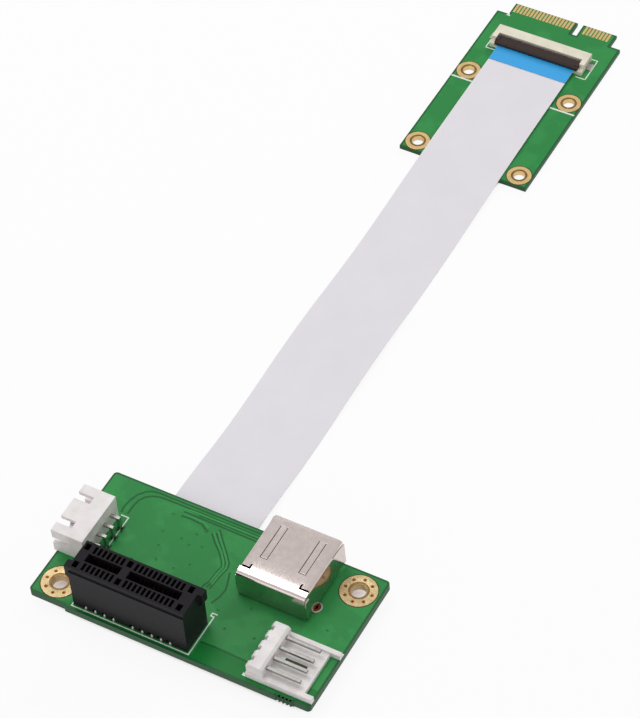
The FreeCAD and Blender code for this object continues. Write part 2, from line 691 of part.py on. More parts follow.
# ------------------------------------------------------------------ USB receptacle
def usb_shell():
    """A folded tube with flared lips, two sprung fingers in the roof and two board legs."""
    body = new_body("usb_shell")
    right = "usb_left + usb_width"
    tube = new_sketch(body, "usb_tube_section", "XZ_Plane", "-usb_lip_line")
    rectangle(tube, "usb_left", "base_top", right, "usb_top")
    pad(body, tube, "usb_lip_line - usb_tube")
    fillet(body, lambda edge: along(edge, Y), "usb_corner")
    bore = new_sketch(body, "usb_bore_section", "XZ_Plane", "-usb_lip_line")
    rectangle(bore, "usb_left + usb_sheet", "base_top + usb_sheet", right + " - usb_sheet",
              "usb_top - usb_sheet")
    pocket(body, bore, "usb_lip_line - usb_tube", reverse=True)
    left, top = value("usb_left"), value("usb_top")
    sheet_thick = value("usb_sheet")

    def inner_corner(edge):
        middle = edge.CenterOfMass
        away = min(abs(middle.x - left - sheet_thick),
                   abs(middle.x - left - value("usb_width") + sheet_thick))
        return along(edge, Y) and away < 0.01 and abs(middle.z - top) > 0.01
    fillet(body, inner_corner, "usb_corner - usb_sheet")

    lip = new_sketch(body, "usb_roof_lip", "YZ_Plane", "usb_left + usb_lip_gap")
    outline(lip, [
        ("usb_lip_line", "usb_top - usb_sheet"), ("usb_back", "usb_top - usb_sheet + usb_lip_out"),
        ("usb_back", "usb_top + usb_lip_out"), ("usb_lip_line", "usb_top"),
    ])
    pad(body, lip, "usb_width - 2 * usb_lip_gap")
    sides = new_sketch(body, "usb_side_lips", level="base_top + usb_lip_gap")
    for wall, sign in (("usb_left", "-"), (right, "+")):
        inner = "-" if sign == "+" else "+"
        outline(sides, [
            (wall, "usb_lip_line"), ("%s %s usb_lip_out" % (wall, sign), "usb_back"),
            ("%s %s usb_lip_out %s usb_sheet" % (wall, sign, inner), "usb_back"),
            ("%s %s usb_sheet" % (wall, inner), "usb_lip_line"),
        ])
    pad(body, sides, "usb_height - 2 * usb_lip_gap")

    slits = new_sketch(body, "usb_finger_slits", level="usb_top")
    root = "usb_back - spring_root"
    for sign in ("-", "+"):
        middle = "usb_centre %s spring_offset" % sign
        rectangle(slits, middle + " - spring_wide / 2 - spring_slit",
                  root + " - spring_long - spring_slit",
                  middle + " + spring_wide / 2 + spring_slit", root)
    pocket(body, slits, "usb_sheet")
    finger = new_sketch(body, "usb_finger", "YZ_Plane", "usb_centre - spring_offset")
    bend = root + " - spring_long * 0.7"
    tip = root + " - spring_long"
    outline(finger, [
        (root, "usb_top"), (bend, "usb_top - spring_dip"), (tip, "usb_top - spring_dip / 3"),
        (tip, "usb_top - spring_dip / 3 - usb_sheet"),
        (bend, "usb_top - spring_dip - usb_sheet"), (root, "usb_top - usb_sheet"),
    ])
    repeat(body, pad(body, finger, "spring_wide", centred=True), "X_Axis",
           "2 * spring_offset", "2")

    relief = new_sketch(body, "usb_flap_opening", level="usb_top")
    rectangle(relief, "usb_left + relief_in", "usb_tube", right + " - relief_in",
              "usb_front + flap_deep")
    pocket(body, relief, "usb_sheet")
    hatch = new_sketch(body, "usb_rear_hatch", level="base_top")
    rectangle(hatch, "usb_left + relief_in", "usb_tube", right + " - relief_in",
              "core_rear + core_deep / 2")
    pocket(body, hatch, "usb_sheet", reverse=True)

    legs = new_sketch(body, "usb_legs", level="base_top + usb_corner")
    for side in ("usb_left", right + " - usb_sheet"):
        rectangle(legs, side, "leg_line - leg_wide / 2", side + " + usb_sheet",
                  "leg_line + leg_wide / 2")
    pad(body, legs, "usb_corner + base_thick + leg_below", reverse=True)
    return finish(body, "usb_shell", BASE)


def usb_rear_cover():
    """The plate that closes the shell's rear end, with a sloping flap that meets the roof."""
    body = new_body("usb_rear_cover")
    plate = new_sketch(body, "usb_cover_plate", "XZ_Plane", "-usb_tube")
    top = "usb_top - flap_drop"
    rectangle(plate, "usb_left", "base_top", "usb_left + usb_width", top)
    pad(body, plate, "usb_sheet")
    fillet(body, lambda edge: along(edge, Y), "usb_sheet")
    flap = new_sketch(body, "usb_flap", "YZ_Plane", "usb_left + relief_in + relief_wide")
    outline(flap, [
        ("usb_front", top + " - usb_sheet"), ("usb_front", top),
        ("usb_front + flap_deep", "usb_top"), ("usb_front + flap_deep", "usb_top - usb_sheet"),
        ("usb_tube", top + " - usb_sheet"),
    ])
    pad(body, flap, "usb_width - 2 * (relief_in + relief_wide)")
    return finish(body, "usb_rear_cover", BASE)


def usb_insulator():
    """Moulded core and tongue, with a groove under the tongue for each contact."""
    body = new_body("usb_insulator")
    core = new_sketch(body, "usb_core", level="base_top + usb_sheet")
    rectangle(core, "usb_left + usb_corner", "core_rear", "usb_left + usb_width - usb_corner",
              "core_rear + core_deep")
    pad(body, core, "usb_height - 2 * usb_sheet - 2 * usb_corner")
    tongue = new_sketch(body, "usb_tongue", level="tongue_low")
    rectangle(tongue, "usb_centre - tongue_wide / 2", "core_rear + core_deep",
              "usb_centre + tongue_wide / 2", "core_rear + core_deep + tongue_long")
    pad(body, tongue, "tongue_thick")
    grooves = new_sketch(body, "usb_grooves", "XZ_Plane", "-core_rear")
    for offset in ("- usb_pin_far", "- usb_pin_near", "+ usb_pin_near", "+ usb_pin_far"):
        middle = "usb_centre " + offset
        rectangle(grooves, middle + " - usb_pin_wide / 2", "tongue_low - usb_pin_thick",
                  middle + " + usb_pin_wide / 2", "tongue_low")
    pocket(body, grooves, "core_deep")
    return finish(body, "usb_insulator", BASE)


def usb_contacts():
    body = new_body("usb_contacts")
    for sign in ("-", "+"):
        for offset in ("near", "far"):
            name = "usb_contact_%s_%s" % (offset, "left" if sign == "-" else "right")
            strip = new_sketch(body, name, "YZ_Plane", "usb_centre %s usb_pin_%s" % (sign, offset))
            front = "core_rear + core_deep + tongue_long - 2 * usb_pin_thick"
            outline(strip, [
                ("core_rear - usb_pin_thick", "board_gap - tail_below"),
                ("core_rear", "board_gap - tail_below"),
                ("core_rear", "tongue_low - usb_pin_thick"),
                (front, "tongue_low - usb_pin_thick"), (front, "tongue_low"),
                ("core_rear - usb_pin_thick", "tongue_low"),
            ])
            pad(body, strip, "usb_pin_wide", centred=True)
    return finish(body, "usb_contacts", BASE)


# ------------------------------------------------------------------ pin headers
def pin_row_holes(sketch, middle, level, pitch, size):
    """Four square openings in a sketch whose axes are Y and Z."""
    for step in range(4):
        centre = "%s + %s * %s" % (middle, pitch, step - 1.5)
        rectangle(sketch, centre + " - %s / 2" % size, level + " - %s / 2" % size,
                  centre + " + %s / 2" % size, level + " + %s / 2" % size)


def power_housing():
    """Low right-angle power header: notched block, floor plate with a latch window, rails."""
    body = new_body("power_housing")
    far = "power_front + power_width"
    inner_low = "power_front + power_rail_wide"
    inner_high = far + " - power_rail_wide"
    plate = new_sketch(body, "power_plate", level="base_top")
    rectangle(plate, "power_left", "power_front", "power_left + power_floor_long", far)
    pad(body, plate, "power_floor")
    rails = new_sketch(body, "power_rails", level="base_top")
    rectangle(rails, "power_left", "power_front", "power_left + power_rail_long", inner_low)
    rectangle(rails, "power_left", inner_high, "power_left + power_rail_long", far)
    pad(body, rails, "power_rail_high")
    block = new_sketch(body, "power_back", level="base_top")
    rectangle(block, "power_left", "power_front + power_rail_wide / 2",
              "power_left + power_block", far + " - power_rail_wide / 2")
    pad(body, block, "power_block_high")
    top = value("base_top") + value("power_block_high")
    chamfer(body, lambda edge: edge.CenterOfMass.z > top - 0.01 and along(edge, Y), "power_bevel")

    notches = new_sketch(body, "power_notches", level="base_top + power_block_high")
    for step in range(4):
        centre = "power_middle + power_pitch * %s" % (step - 1.5)
        rectangle(notches, "power_left", centre + " - power_notch / 2",
                  "power_left + power_notch_deep", centre + " + power_notch / 2")
    pocket(body, notches, "power_block_high")
    holes = new_sketch(body, "power_holes", "YZ_Plane", "power_left + power_block")
    pin_row_holes(holes, "power_middle", "base_top + power_pin_high", "power_pitch", "power_pin")
    pocket(body, holes, "power_block - power_notch_deep")
    window = new_sketch(body, "power_window", level="base_top + power_floor")
    start = "power_left + power_block + window_from_block"
    rectangle(window, start, "power_middle - window_wide / 2", start + " + window_long",
              "power_middle + window_wide / 2")
    pocket(body, window, "power_floor")
    return finish(body, "power_housing", BASE)


def bent_pins(name, tip, tail, middle, level, pitch, size, reach_right):
    """Four square pins that leave a housing level and turn down through the board."""
    body = new_body(name)
    bent = new_sketch(body, name + "_side", "XZ_Plane",
                      "-(%s - %s * 1.5)" % (middle, pitch))
    low = "%s - %s / 2" % (level, size)
    high = "%s + %s / 2" % (level, size)
    foot = "board_gap - tail_long"
    near = "%s %s %s / 2" % (tail, "+" if reach_right else "-", size)
    far = "%s %s %s / 2" % (tail, "-" if reach_right else "+", size)
    outline(bent, [(tip, low), (near, low), (near, foot), (far, foot), (far, high), (tip, high)])
    row = repeat(body, pad(body, bent, size, centred=True), "Y_Axis", pitch, "4")
    return finish(body, name, BASE), row


def power_pins():
    return bent_pins("power_pins", "power_left + power_block + power_pin_reach",
                     "power_tail_line", "power_middle", "base_top + power_pin_high",
                     "power_pitch", "power_pin", True)


def header_housing():
    """Side-entry shrouded header: open on the left, lock slots in the roof and the ends."""
    body = new_body("header_housing")
    far = "header_front + header_width"
    block = new_sketch(body, "header_block", level="base_top")
    rectangle(block, "-header_overhang", "header_front", "header_back", far)
    pad(body, block, "header_height")
    cavity = new_sketch(body, "header_cavity", "YZ_Plane", "-header_overhang")
    rectangle(cavity, "header_front + header_wall", "base_top + header_wall",
              far + " - header_wall", "base_top + header_height - header_wall")
    pocket(body, cavity, "header_deep - header_back_wall", reverse=True)
    locks = new_sketch(body, "header_locks", level="base_top + header_height")
    for start in ("header_front + header_slot_inset",
                  far + " - header_slot_inset - header_slot_wide"):
        rectangle(locks, "-header_overhang", start, "header_slot_long - header_overhang",
                  start + " + header_slot_wide")
    pocket(body, locks, "header_wall")
    ends = new_sketch(body, "header_end_slots", "XZ_Plane", "-(header_middle)")
    middle = "base_top + header_height / 2"
    rectangle(ends, "-header_overhang", middle + " - header_side_slot / 2",
              "header_slot_long - header_overhang", middle + " + header_side_slot / 2")
    pocket(body, ends, "header_width", centred=True)
    holes = new_sketch(body, "header_holes", "YZ_Plane", "header_back")
    pin_row_holes(holes, "header_middle", "base_top + header_pin_high", "header_pitch",
                  "header_pin")
    pocket(body, holes, "header_back_wall")
    return finish(body, "header_housing", BASE)


def header_pins():
    return bent_pins("header_pins", "header_pin_inset - header_overhang", "header_tail_line",
                     "header_middle", "base_top + header_pin_high", "header_pitch",
                     "header_pin", False)


# ------------------------------------------------------------------ flip-lock cable sockets
# Each socket is drawn with its mouth's middle at the origin, +Y into the socket and +Z away
# from the board that carries it; the base board's own is turned over to hang underneath.
BASE_SOCKET = ("frame_left + cable_centre", "frame_front + base_mouth", "board_gap")
MINI_SOCKET = ("frame_left + cable_centre", "frame_front + mini_front + mini_mouth", "mini_top")
TURNED_OVER = Rotation(X, 180)


def seat(body, label, corner, turned):
    if turned:
        body.Placement = Placement(Vector(0, 0, 0), TURNED_OVER)
    return finish(body, label, corner)


def socket_housing(prefix, corner, turned):
    """Floor, rear block with a cable entry, a trough for the leads, and bored end walls."""
    name = prefix + "_socket_housing"
    body = new_body(name)
    half = "socket_width / 2"
    floor = new_sketch(body, name + "_floor")
    rectangle(floor, "-" + half, "0", half, "socket_deep")
    pad(body, floor, "socket_floor")
    walls = new_sketch(body, name + "_walls", "YZ_Plane")
    outline(walls, [
        ("0", "0"), ("socket_deep", "0"), ("socket_deep", "socket_height"),
        ("socket_end_step", "socket_height"), ("socket_end_step", "socket_end_low"),
        ("0", "socket_end_low"),
    ])
    pad(body, walls, "socket_width", centred=True)
    bay = new_sketch(body, name + "_bay", level="socket_height")
    inner = "(socket_width / 2 - socket_end)"
    rectangle(bay, "-" + inner, "0", inner, "socket_bay")
    pocket(body, bay, "socket_height - socket_floor")
    entry = new_sketch(body, name + "_entry", "XZ_Plane", "-socket_bay")
    reach = "(cable_wide / 2 + socket_side_clear)"
    rectangle(entry, "-" + reach, "socket_floor", reach, "socket_floor + entry_high")
    pocket(body, entry, "entry_deep")
    pivots = new_sketch(body, name + "_pivots", "YZ_Plane")
    circle(pivots, "lock_axis_deep", "lock_axis_high", "trunnion_radius + trunnion_clear")
    pocket(body, pivots, "2 * (%s + trunnion_long + trunnion_clear)" % inner, centred=True)
    trough = new_sketch(body, name + "_trough")
    row = "(socket_pitch * (socket_count - 1) / 2 + lead_wide)"
    rectangle(trough, "-" + row, "lead_window", row, "socket_deep")
    pocket(body, trough, "socket_floor", reverse=True)
    return seat(body, name, corner, turned)


def socket_contacts(prefix, corner, turned):
    """A row of sprung leads, each from a soldered foot to a nose that touches the cable."""
    name = prefix + "_socket_contacts"
    body = new_body(name)
    first = "-socket_pitch * (socket_count - 1) / 2"
    nose = "lead_window + lead_tip_gap"
    leaf = new_sketch(body, name + "_side", "YZ_Plane", first)
    outline(leaf, [
        ("socket_deep + lead_out", "0"), ("socket_deep + lead_out", "lead_thick"),
        (nose + " + lead_rise", "lead_thick"), (nose, "cable_level"),
        (nose, "cable_level - 1.4 * lead_thick"), (nose + " + lead_rise", "0"),
    ])
    repeat(body, pad(body, leaf, "lead_wide", centred=True), "X_Axis", "socket_pitch",
           "socket_count")
    return seat(body, name, corner, turned)


def socket_lock(prefix, corner, turned):
    """The lock bar: flat over the cable when shut, turning on a pivot pin at each end."""
    name = prefix + "_socket_lock"
    body = new_body(name)
    span = "(socket_width - 2 * socket_end - 2 * lock_clear)"
    low = "lock_axis_high - lock_radius"
    high = "lock_axis_high + lock_radius"
    bar = new_sketch(body, name + "_bar", "YZ_Plane")
    outline(bar, [
        ("0.1", low), ("lock_axis_deep", low), ("lock_axis_deep", high),
        ("0.5", high), ("0.1", high + " - 0.4"),
    ])
    pad(body, bar, span, centred=True)
    back = new_sketch(body, name + "_back", "YZ_Plane")
    circle(back, "lock_axis_deep", "lock_axis_high", "lock_radius")
    pad(body, back, span, centred=True)
    pins = new_sketch(body, name + "_pins", "YZ_Plane")
    circle(pins, "lock_axis_deep", "lock_axis_high", "trunnion_radius")
    pad(body, pins, span + " + 2 * trunnion_long", centred=True)
    ears = new_sketch(body, name + "_ears", level=high + " - ear_high")
    for side in ("-", "+"):
        outer = "%s (%s / 2)" % (side, span)
        inner = "%s (%s / 2 - ear_wide)" % (side, span)
        rectangle(ears, outer, "0.6", inner, "lock_axis_deep")
    pad(body, ears, "2 * ear_high")
    return seat(body, name, corner, turned)


def socket_hold_downs(prefix, corner, turned):
    """Soldered steel tabs at the ends of the housing."""
    name = prefix + "_socket_hold_downs"
    body = new_body(name)
    for side in ("-", "+"):
        angle = new_sketch(body, name + ("_left" if side == "-" else "_right"), "XZ_Plane",
                           "-(clamp_deep + clamp_long)")
        wall = "socket_width / 2"
        corners = [
            (wall, "0"), (wall + " + clamp_out", "0"), (wall + " + clamp_out", "clamp_thick"),
            (wall + " + clamp_thick", "clamp_thick"), (wall + " + clamp_thick", "clamp_high"),
            (wall, "clamp_high"),
        ]
        outline(angle, [("%s (%s)" % (side, across), up) for across, up in corners])
        pad(body, angle, "clamp_long")
    return seat(body, name, corner, turned)


# ------------------------------------------------------------------ flat ribbon cable
def ribbon_route():
    """Route of the cable's middle as (y, z) from the base board's front edge and the surface.

    It runs level out of each socket, comes down to the surface clear of the base board,
    lifts a little where the film bows, and climbs over the edge card's end.
    """
    film = value("cable_thick") / 2
    seat_depth = value("socket_bay") + value("entry_deep")
    base_level = value("board_gap") - value("cable_level") - film
    mini_level = value("mini_top") + value("cable_level") + film
    start = value("base_mouth") - seat_depth
    end = value("mini_front") + value("mini_mouth") + seat_depth
    card = value("mini_front")
    return [
        (start, base_level),
        (start + 16.1, base_level),
        (start + 33.1, film - 0.21),
        (start + 60.1, film + 1.5),
        (start + 86.1, film - 0.25),
        (card - 1.7, value("mini_top") + film + 0.175),
        (end - 16.1, mini_level),
        (end, mini_level),
    ]


def bends(route, share=0.45):
    """Tangent length, turn and radius at each inner point of a route."""
    rows = []
    for before, here, after in zip(route, route[1:], route[2:]):
        a = Vector(here[0] - before[0], here[1] - before[1], 0)
        b = Vector(after[0] - here[0], after[1] - here[1], 0)
        tangent = share * min(a.Length, b.Length)
        turn = a.getAngle(b)
        rows.append((tangent, turn, tangent / math.tan(turn / 2)))
    return rows


def offset_line(route, rows, side):
    """Edges of one face of the film: straight runs joined by arcs tangent to both."""
    def shifted(point, run, distance):
        return point + Vector(-run.y, run.x, 0) * distance

    points = [Vector(y, z, 0) for y, z in route]
    runs = [(b - a).normalize() for a, b in zip(points, points[1:])]
    half = side * value("cable_thick") / 2
    edges = []
    position = shifted(points[0], runs[0], half)
    for i, (tangent, turn, radius) in enumerate(rows, start=1):
        into, out = runs[i - 1], runs[i]
        enter = shifted(points[i] - into * tangent, into, half)
        leave = shifted(points[i] + out * tangent, out, half)
        left_turn = into.x * out.y - into.y * out.x > 0
        sign = 1 if left_turn else -1
        centre = shifted(points[i] - into * tangent, into, sign * radius)
        bisector = ((enter + leave) * 0.5 - centre).normalize()
        middle = centre + bisector * (enter - centre).Length
        edges.append(Part.LineSegment(position, enter))
        edges.append(Part.Arc(enter, middle, leave))
        position = leave
    edges.append(Part.LineSegment(position, shifted(points[-1], runs[-1], half)))
    return edges


def ribbon_cable():
    route = ribbon_route()
    rows = bends(route)
    for (y, z), (tangent, turn, radius) in zip(route[1:-1], rows):
        print("bend at y %.1f: turn %.2f degrees, radius %.0f mm"
              % (y, math.degrees(turn), radius))
    body = new_body("ribbon_cable")
    section = new_sketch(body, "ribbon_route", "YZ_Plane", "cable_centre")
    upper = offset_line(route, rows, 1)
    lower = offset_line(route, rows, -1)
    for edge in upper + lower:
        section.addGeometry(edge, False)
    for a, b in ((upper[0], lower[0]), (upper[-1], lower[-1])):
        ends = [(edge.StartPoint if edge in (upper[0], lower[0]) else edge.EndPoint)
                for edge in (a, b)]
        section.addGeometry(Part.LineSegment(ends[0], ends[1]), False)
    pad(body, section, "cable_wide", centred=True)
    finish(body, "ribbon_cable", BASE)
    doc.recompute()
    length = 0
    for before, here in zip(route, route[1:]):
        length += math.dist(before, here)
    for tangent, turn, radius in rows:
        length += radius * turn - 2 * tangent
    solid = body.Shape.Volume
    swept = length * value("cable_wide") * value("cable_thick")
    print("ribbon length %.2f mm, volume %.3f mm3, section x length %.3f mm3"
          % (length, solid, swept))
    return body


def stiffener(name, start, low):
    """Backing film on the cable's end, on the side away from the board."""
    film = box(name, ("frame_left + cable_centre - cable_wide / 2", "frame_front + " + start, low),
               ("cable_wide", "stiffener_long", "stiffener_thick"))
    film.Label = name
    parts.append(film)
    return film


# ------------------------------------------------------------------ build and export
base_board()
base_hole_pads()
slot_housing()
slot_contacts()
usb_shell()
usb_rear_cover()
usb_insulator()
usb_contacts()
power_housing()
power_pins()
header_housing()
header_pins()
for prefix, corner, turned in (("base", BASE_SOCKET, True), ("mini", MINI_SOCKET, False)):
    socket_housing(prefix, corner, turned)
    socket_contacts(prefix, corner, turned)
    socket_lock(prefix, corner, turned)
    socket_hold_downs(prefix, corner, turned)
mini_board()
mini_hole_pads()
edge_fingers("edge_fingers_top", "mini_top")
edge_fingers("edge_fingers_bottom", "0")
ribbon_cable()
stiffener("ribbon_stiffener_base", "base_mouth - socket_bay - entry_deep",
          "board_gap - cable_level - cable_thick - stiffener_thick")
stiffener("ribbon_stiffener_mini",
          "mini_front + mini_mouth + socket_bay + entry_deep - stiffener_long",
          "mini_top + cable_level + cable_thick")
doc.recompute()

for item in doc.Objects:
    if {"Invalid", "Error"} & set(item.State):
        raise RuntimeError("%s did not compute: %s" % (item.Label, item.State))
for part in parts:
    if part.Shape.isNull() or not part.Shape.isValid():
        raise RuntimeError("%s has no valid shape" % part.Label)

os.makedirs("parts", exist_ok=True)
for part in parts:
    part.Shape.exportStep("parts/%s.step" % part.Label)
    bounds = part.Shape.BoundBox
    print("%-26s x %7.2f %7.2f  y %7.2f %7.2f  z %6.2f %6.2f  solids %3d  volume %9.3f"
          % (part.Label, bounds.XMin, bounds.XMax, bounds.YMin, bounds.YMax, bounds.ZMin,
             bounds.ZMax, len(part.Shape.Solids), part.Shape.Volume))
print("%d sub-parts" % len(parts))
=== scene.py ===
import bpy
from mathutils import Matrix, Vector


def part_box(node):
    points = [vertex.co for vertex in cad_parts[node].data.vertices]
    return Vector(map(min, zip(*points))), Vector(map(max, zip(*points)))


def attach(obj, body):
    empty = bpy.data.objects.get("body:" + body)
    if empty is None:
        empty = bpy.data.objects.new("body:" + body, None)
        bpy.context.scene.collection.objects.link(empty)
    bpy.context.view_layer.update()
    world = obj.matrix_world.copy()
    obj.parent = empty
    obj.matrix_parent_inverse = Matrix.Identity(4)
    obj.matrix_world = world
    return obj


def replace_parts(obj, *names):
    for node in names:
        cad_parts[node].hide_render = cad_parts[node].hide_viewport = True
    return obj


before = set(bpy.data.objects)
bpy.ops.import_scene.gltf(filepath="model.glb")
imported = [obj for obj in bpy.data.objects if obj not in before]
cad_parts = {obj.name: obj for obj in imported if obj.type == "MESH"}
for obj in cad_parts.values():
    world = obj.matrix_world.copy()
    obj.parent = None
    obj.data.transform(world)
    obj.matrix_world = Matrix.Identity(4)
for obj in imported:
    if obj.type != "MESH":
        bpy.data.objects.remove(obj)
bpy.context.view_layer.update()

import math

import bmesh
import bpy
from bpy.props import FloatProperty, FloatVectorProperty, PointerProperty
from mathutils import Matrix, Vector

bl_info = {
    "name": "Riser card looks",
    "version": (1, 0, 0),
    "blender": (4, 5, 0),
    "location": "3D View > Sidebar > Riser card",
    "description": "Boards, connectors, flat ribbon and studio of a riser card",
    "category": "Object",
}

MM = 0.001
BOARDS = "boards"
LACQUER_GLOSS = 0.22
# How far a printed or etched line reaches into its board.
LAID_DEEP = 0.02 * MM
# Where a turned profile begins, in millimetres, so that its foot stands inside the board.
SUNK = -0.01

BASE_LOW, BASE_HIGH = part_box("base_board")
MINI_LOW, MINI_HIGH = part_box("mini_board")
RIBBON_LOW, RIBBON_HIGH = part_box("ribbon_cable")
FIXING_CENTRES = ((-25.7, -90.075), (26.3, -66.675))
SCREW_CENTRES = ((-20.2, 46.525), (4.0, 46.525), (-20.2, 70.675), (4.0, 70.675))


def tint(red, green, blue):
    """A colour written as 0 to 255 a channel, in the linear values that shaders use."""
    scaled = (value / 255 for value in (red, green, blue))
    return tuple(
        v / 12.92 if v <= 0.04045 else ((v + 0.055) / 1.055) ** 2.4 for v in scaled
    )


def colour(name, description, red, green, blue):
    return FloatVectorProperty(
        name=name, description=description, subtype="COLOR", size=3,
        min=0, max=1, default=tint(red, green, blue),
    )


def size(name, description, millimetres):
    return FloatProperty(
        name=name, description=description, subtype="DISTANCE", unit="LENGTH",
        min=0, precision=5, default=millimetres * MM,
    )


def angle(name, description, degrees):
    return FloatProperty(
        name=name, description=description, unit="ROTATION", default=math.radians(degrees)
    )


def power(name, description, watts):
    return FloatProperty(name=name, description=description, unit="POWER", default=watts)


class RiserBoards(bpy.types.PropertyGroup):
    mask: colour("Solder mask", "Green lacquer over the copper", 51, 146, 75)
    mask_deep: colour("Bare mask", "Green lacquer where there is no copper under it", 35, 123, 60)
    # Partly painted shade: lacquer where the copper stops short of the front, made a deeper green
    # that also stands in for the card slot's shadow on it.
    strip: colour("Front strip", "Lacquer where the copper stops short of the front", 20, 118, 50)
    edge: colour("Cut edge", "Glass laminate where the board was routed", 32, 84, 50)
    legend: colour("Legend", "White printed ink", 236, 240, 232)
    gap: size("Gap width", "Width of the gaps cut in the copper", 0.4)
    track: size("Track width", "Width of a single copper track", 0.4)
    legend_line: size("Legend line", "Width of a printed line", 0.24)
    via: size("Via radius", "Outer radius of a lacquered through-hole", 0.34)
    rim: size("Rim", "Bare strip between the copper and the board's edge", 0.4)


class RiserMetals(bpy.types.PropertyGroup):
    gold: colour("Gold plating", "Pads and rings", 198, 180, 138)
    gold_deep: colour("Gold in the hollows", "Darker tone of the plating", 168, 145, 100)
    hard_gold: colour("Hard gold", "Thick plating on edge fingers and contacts", 234, 198, 128)
    copper: colour("Copper", "Stitching holes round the fixing rings", 148, 84, 46)
    tin: colour("Tin", "Pins and leads", 196, 194, 190)
    solder: colour("Solder", "Joints round the leads", 188, 188, 184)
    shell: colour("Shell", "Nickel-plated sheet of the USB shell", 214, 201, 197)
    ring: size("Ring height", "Copper and plating above the lacquer", 0.05)
    barrel: size("Barrel wall", "Plating on the wall of a hole", 0.05)


class RiserPlastics(bpy.types.PropertyGroup):
    slot: colour("Card slot", "Black glass-filled nylon", 27, 24, 28)
    header: colour("Wire headers", "White nylon", 244, 239, 238)
    socket: colour("Ribbon sockets", "Cream liquid-crystal polymer", 238, 231, 212)
    # Painted shade: colour of a dark block that stands in for the shade inside the latch window.
    window: colour("Latch window", "Shaded inside of the power header's latch window", 62, 66, 36)
    lock: colour("Flip locks", "Dark brown polymer", 52, 36, 32)
    tongue: colour("USB tongue", "Dark insulator in the USB mouth", 36, 34, 36)


class RiserRibbon(bpy.types.PropertyGroup):
    film: colour("Film", "White film over the conductors", 232, 228, 234)
    stiffener: colour("Stiffener", "Blue tape that stiffens the ends", 26, 165, 234)
    thickness: size("Thickness", "Both films and the conductors together", 0.15)
    pitch: size("Pitch", "Spacing of the flat conductors", 0.5)
    swell: size("Swell", "How far a conductor lifts the film", 0.006)


class RiserStudio(bpy.types.PropertyGroup):
    azimuth: angle("Azimuth", "Bearing of the camera's line of sight", -32.28)
    elevation: angle("Elevation", "Height of the camera as an angle", 48.89)
    roll: angle("Roll", "Turn of the camera about its line of sight", -4.75)
    distance: size("Distance", "From the camera to the point it looks at", 626.66)
    lens: FloatProperty(
        name="Lens", description="Focal length in millimetres", min=1, default=155.21
    )
    key: power("Key light", "Power of the main light", 1.7)
    back: power("Back light", "Power of the light behind", 5.6)
    fill: power("Fill light", "Power of the front light", 0.7)
    surround: FloatProperty(
        name="Surround", description="Strength of the white surround", default=0.72
    )
    enclosed: colour("Enclosed floor", "Shade of the floor where it is closed in", 188, 170, 162)


# ---------------------------------------------------------------- finishes


class Nodes:
    """A node tree as it is put together: nodes by type, joined socket to socket."""

    def __init__(self, tree):
        self.tree = tree
        tree.nodes.clear()

    def node(self, kind, inputs=(), **settings):
        made = self.tree.nodes.new(kind)
        for key, value in settings.items():
            setattr(made, key, value)
        for key, value in dict(inputs).items():
            if isinstance(value, bpy.types.NodeSocket):
                self.join(value, made.inputs[key])
            else:
                made.inputs[key].default_value = value
        return made

    def join(self, out, into):
        self.tree.links.new(out, into)

    def between(self, value, low, high, start=0.3, end=0.7):
        """Turns a value into one between low and high."""
        return self.node(
            "ShaderNodeMapRange", {0: value, 1: start, 2: end, 3: low, 4: high}
        ).outputs[0]

    def combine(self, first, second, how="ADD"):
        return self.node("ShaderNodeMath", {0: first, 1: second}, operation=how).outputs[0]

    def seen(self):
        """1 for what the camera sees, straight, in a mirror or through glass, and 0 for light."""
        path = self.node("ShaderNodeLightPath").outputs
        either = self.combine(path["Is Camera Ray"], path["Is Glossy Ray"], "MAXIMUM")
        return self.combine(either, path["Is Transmission Ray"], "MAXIMUM")


class Finish(Nodes):
    """A material with one surface, placed by the object's own coordinates."""

    def __init__(self, name, **surface):
        self.material = bpy.data.materials.new(name)
        self.material.use_nodes = True
        super().__init__(self.material.node_tree)
        self.surface = self.node("ShaderNodeBsdfPrincipled")
        for key, value in surface.items():
            self.surface.inputs[key.replace("_", " ")].default_value = value
        self.out = self.node("ShaderNodeOutputMaterial").inputs[0]
        self.join(self.surface.outputs[0], self.out)
        self.place = self.node("ShaderNodeTexCoord").outputs["Object"]

    def noise(self, per_mm, detail=2.0, stretch=(1, 1, 1)):
        """A soft random value from 0 to 1, with so many blotches to the millimetre."""
        spread = self.node(
            "ShaderNodeMapping", {"Vector": self.place, "Scale": stretch}
        ).outputs[0]
        return self.node(
            "ShaderNodeTexNoise", {"Vector": spread, "Scale": per_mm / MM, "Detail": detail}
        ).outputs[0]

    def mix(self, share, first, second):
        """A colour share of the way from the first to the second."""
        return self.node(
            "ShaderNodeMix", {0: share, 6: paint(first), 7: paint(second)}, data_type="RGBA"
        ).outputs[2]

    def set(self, key, value):
        """Gives one of the surface's inputs a node's value."""
        self.join(value, self.surface.inputs[key])

    def rounded(self, radius_mm):
        """The surface's direction with its edges rounded off."""
        return self.node("ShaderNodeBevel", {"Radius": radius_mm * MM}, samples=6).outputs[0]

    def relief(self, height, depth_mm, rounded_mm=0.0):
        """Bump from a height, over edges that are rounded by a small radius."""
        inputs = {"Height": height, "Distance": depth_mm * MM}
        if rounded_mm:
            inputs["Normal"] = self.rounded(rounded_mm)
        self.set("Normal", self.node("ShaderNodeBump", inputs).outputs[0])

    def edge_highlight(self, rounded_mm):
        """Near 1 on the sharp edges and 0 on the flats."""
        facing = self.node("ShaderNodeNewGeometry").outputs["True Normal"]
        cosine = self.node(
            "ShaderNodeVectorMath", {0: self.rounded(rounded_mm), 1: facing},
            operation="DOT_PRODUCT",
        ).outputs["Value"]
        return self.between(cosine, 1.0, 0.0, 0.75, 0.995)

    def done(self, shade, roughness, height, depth_mm, rounded_mm=0.0):
        """The material, with its colour, roughness and relief in place."""
        self.set("Base Color", shade)
        self.set("Roughness", roughness)
        self.relief(height, depth_mm, rounded_mm)
        return self.material


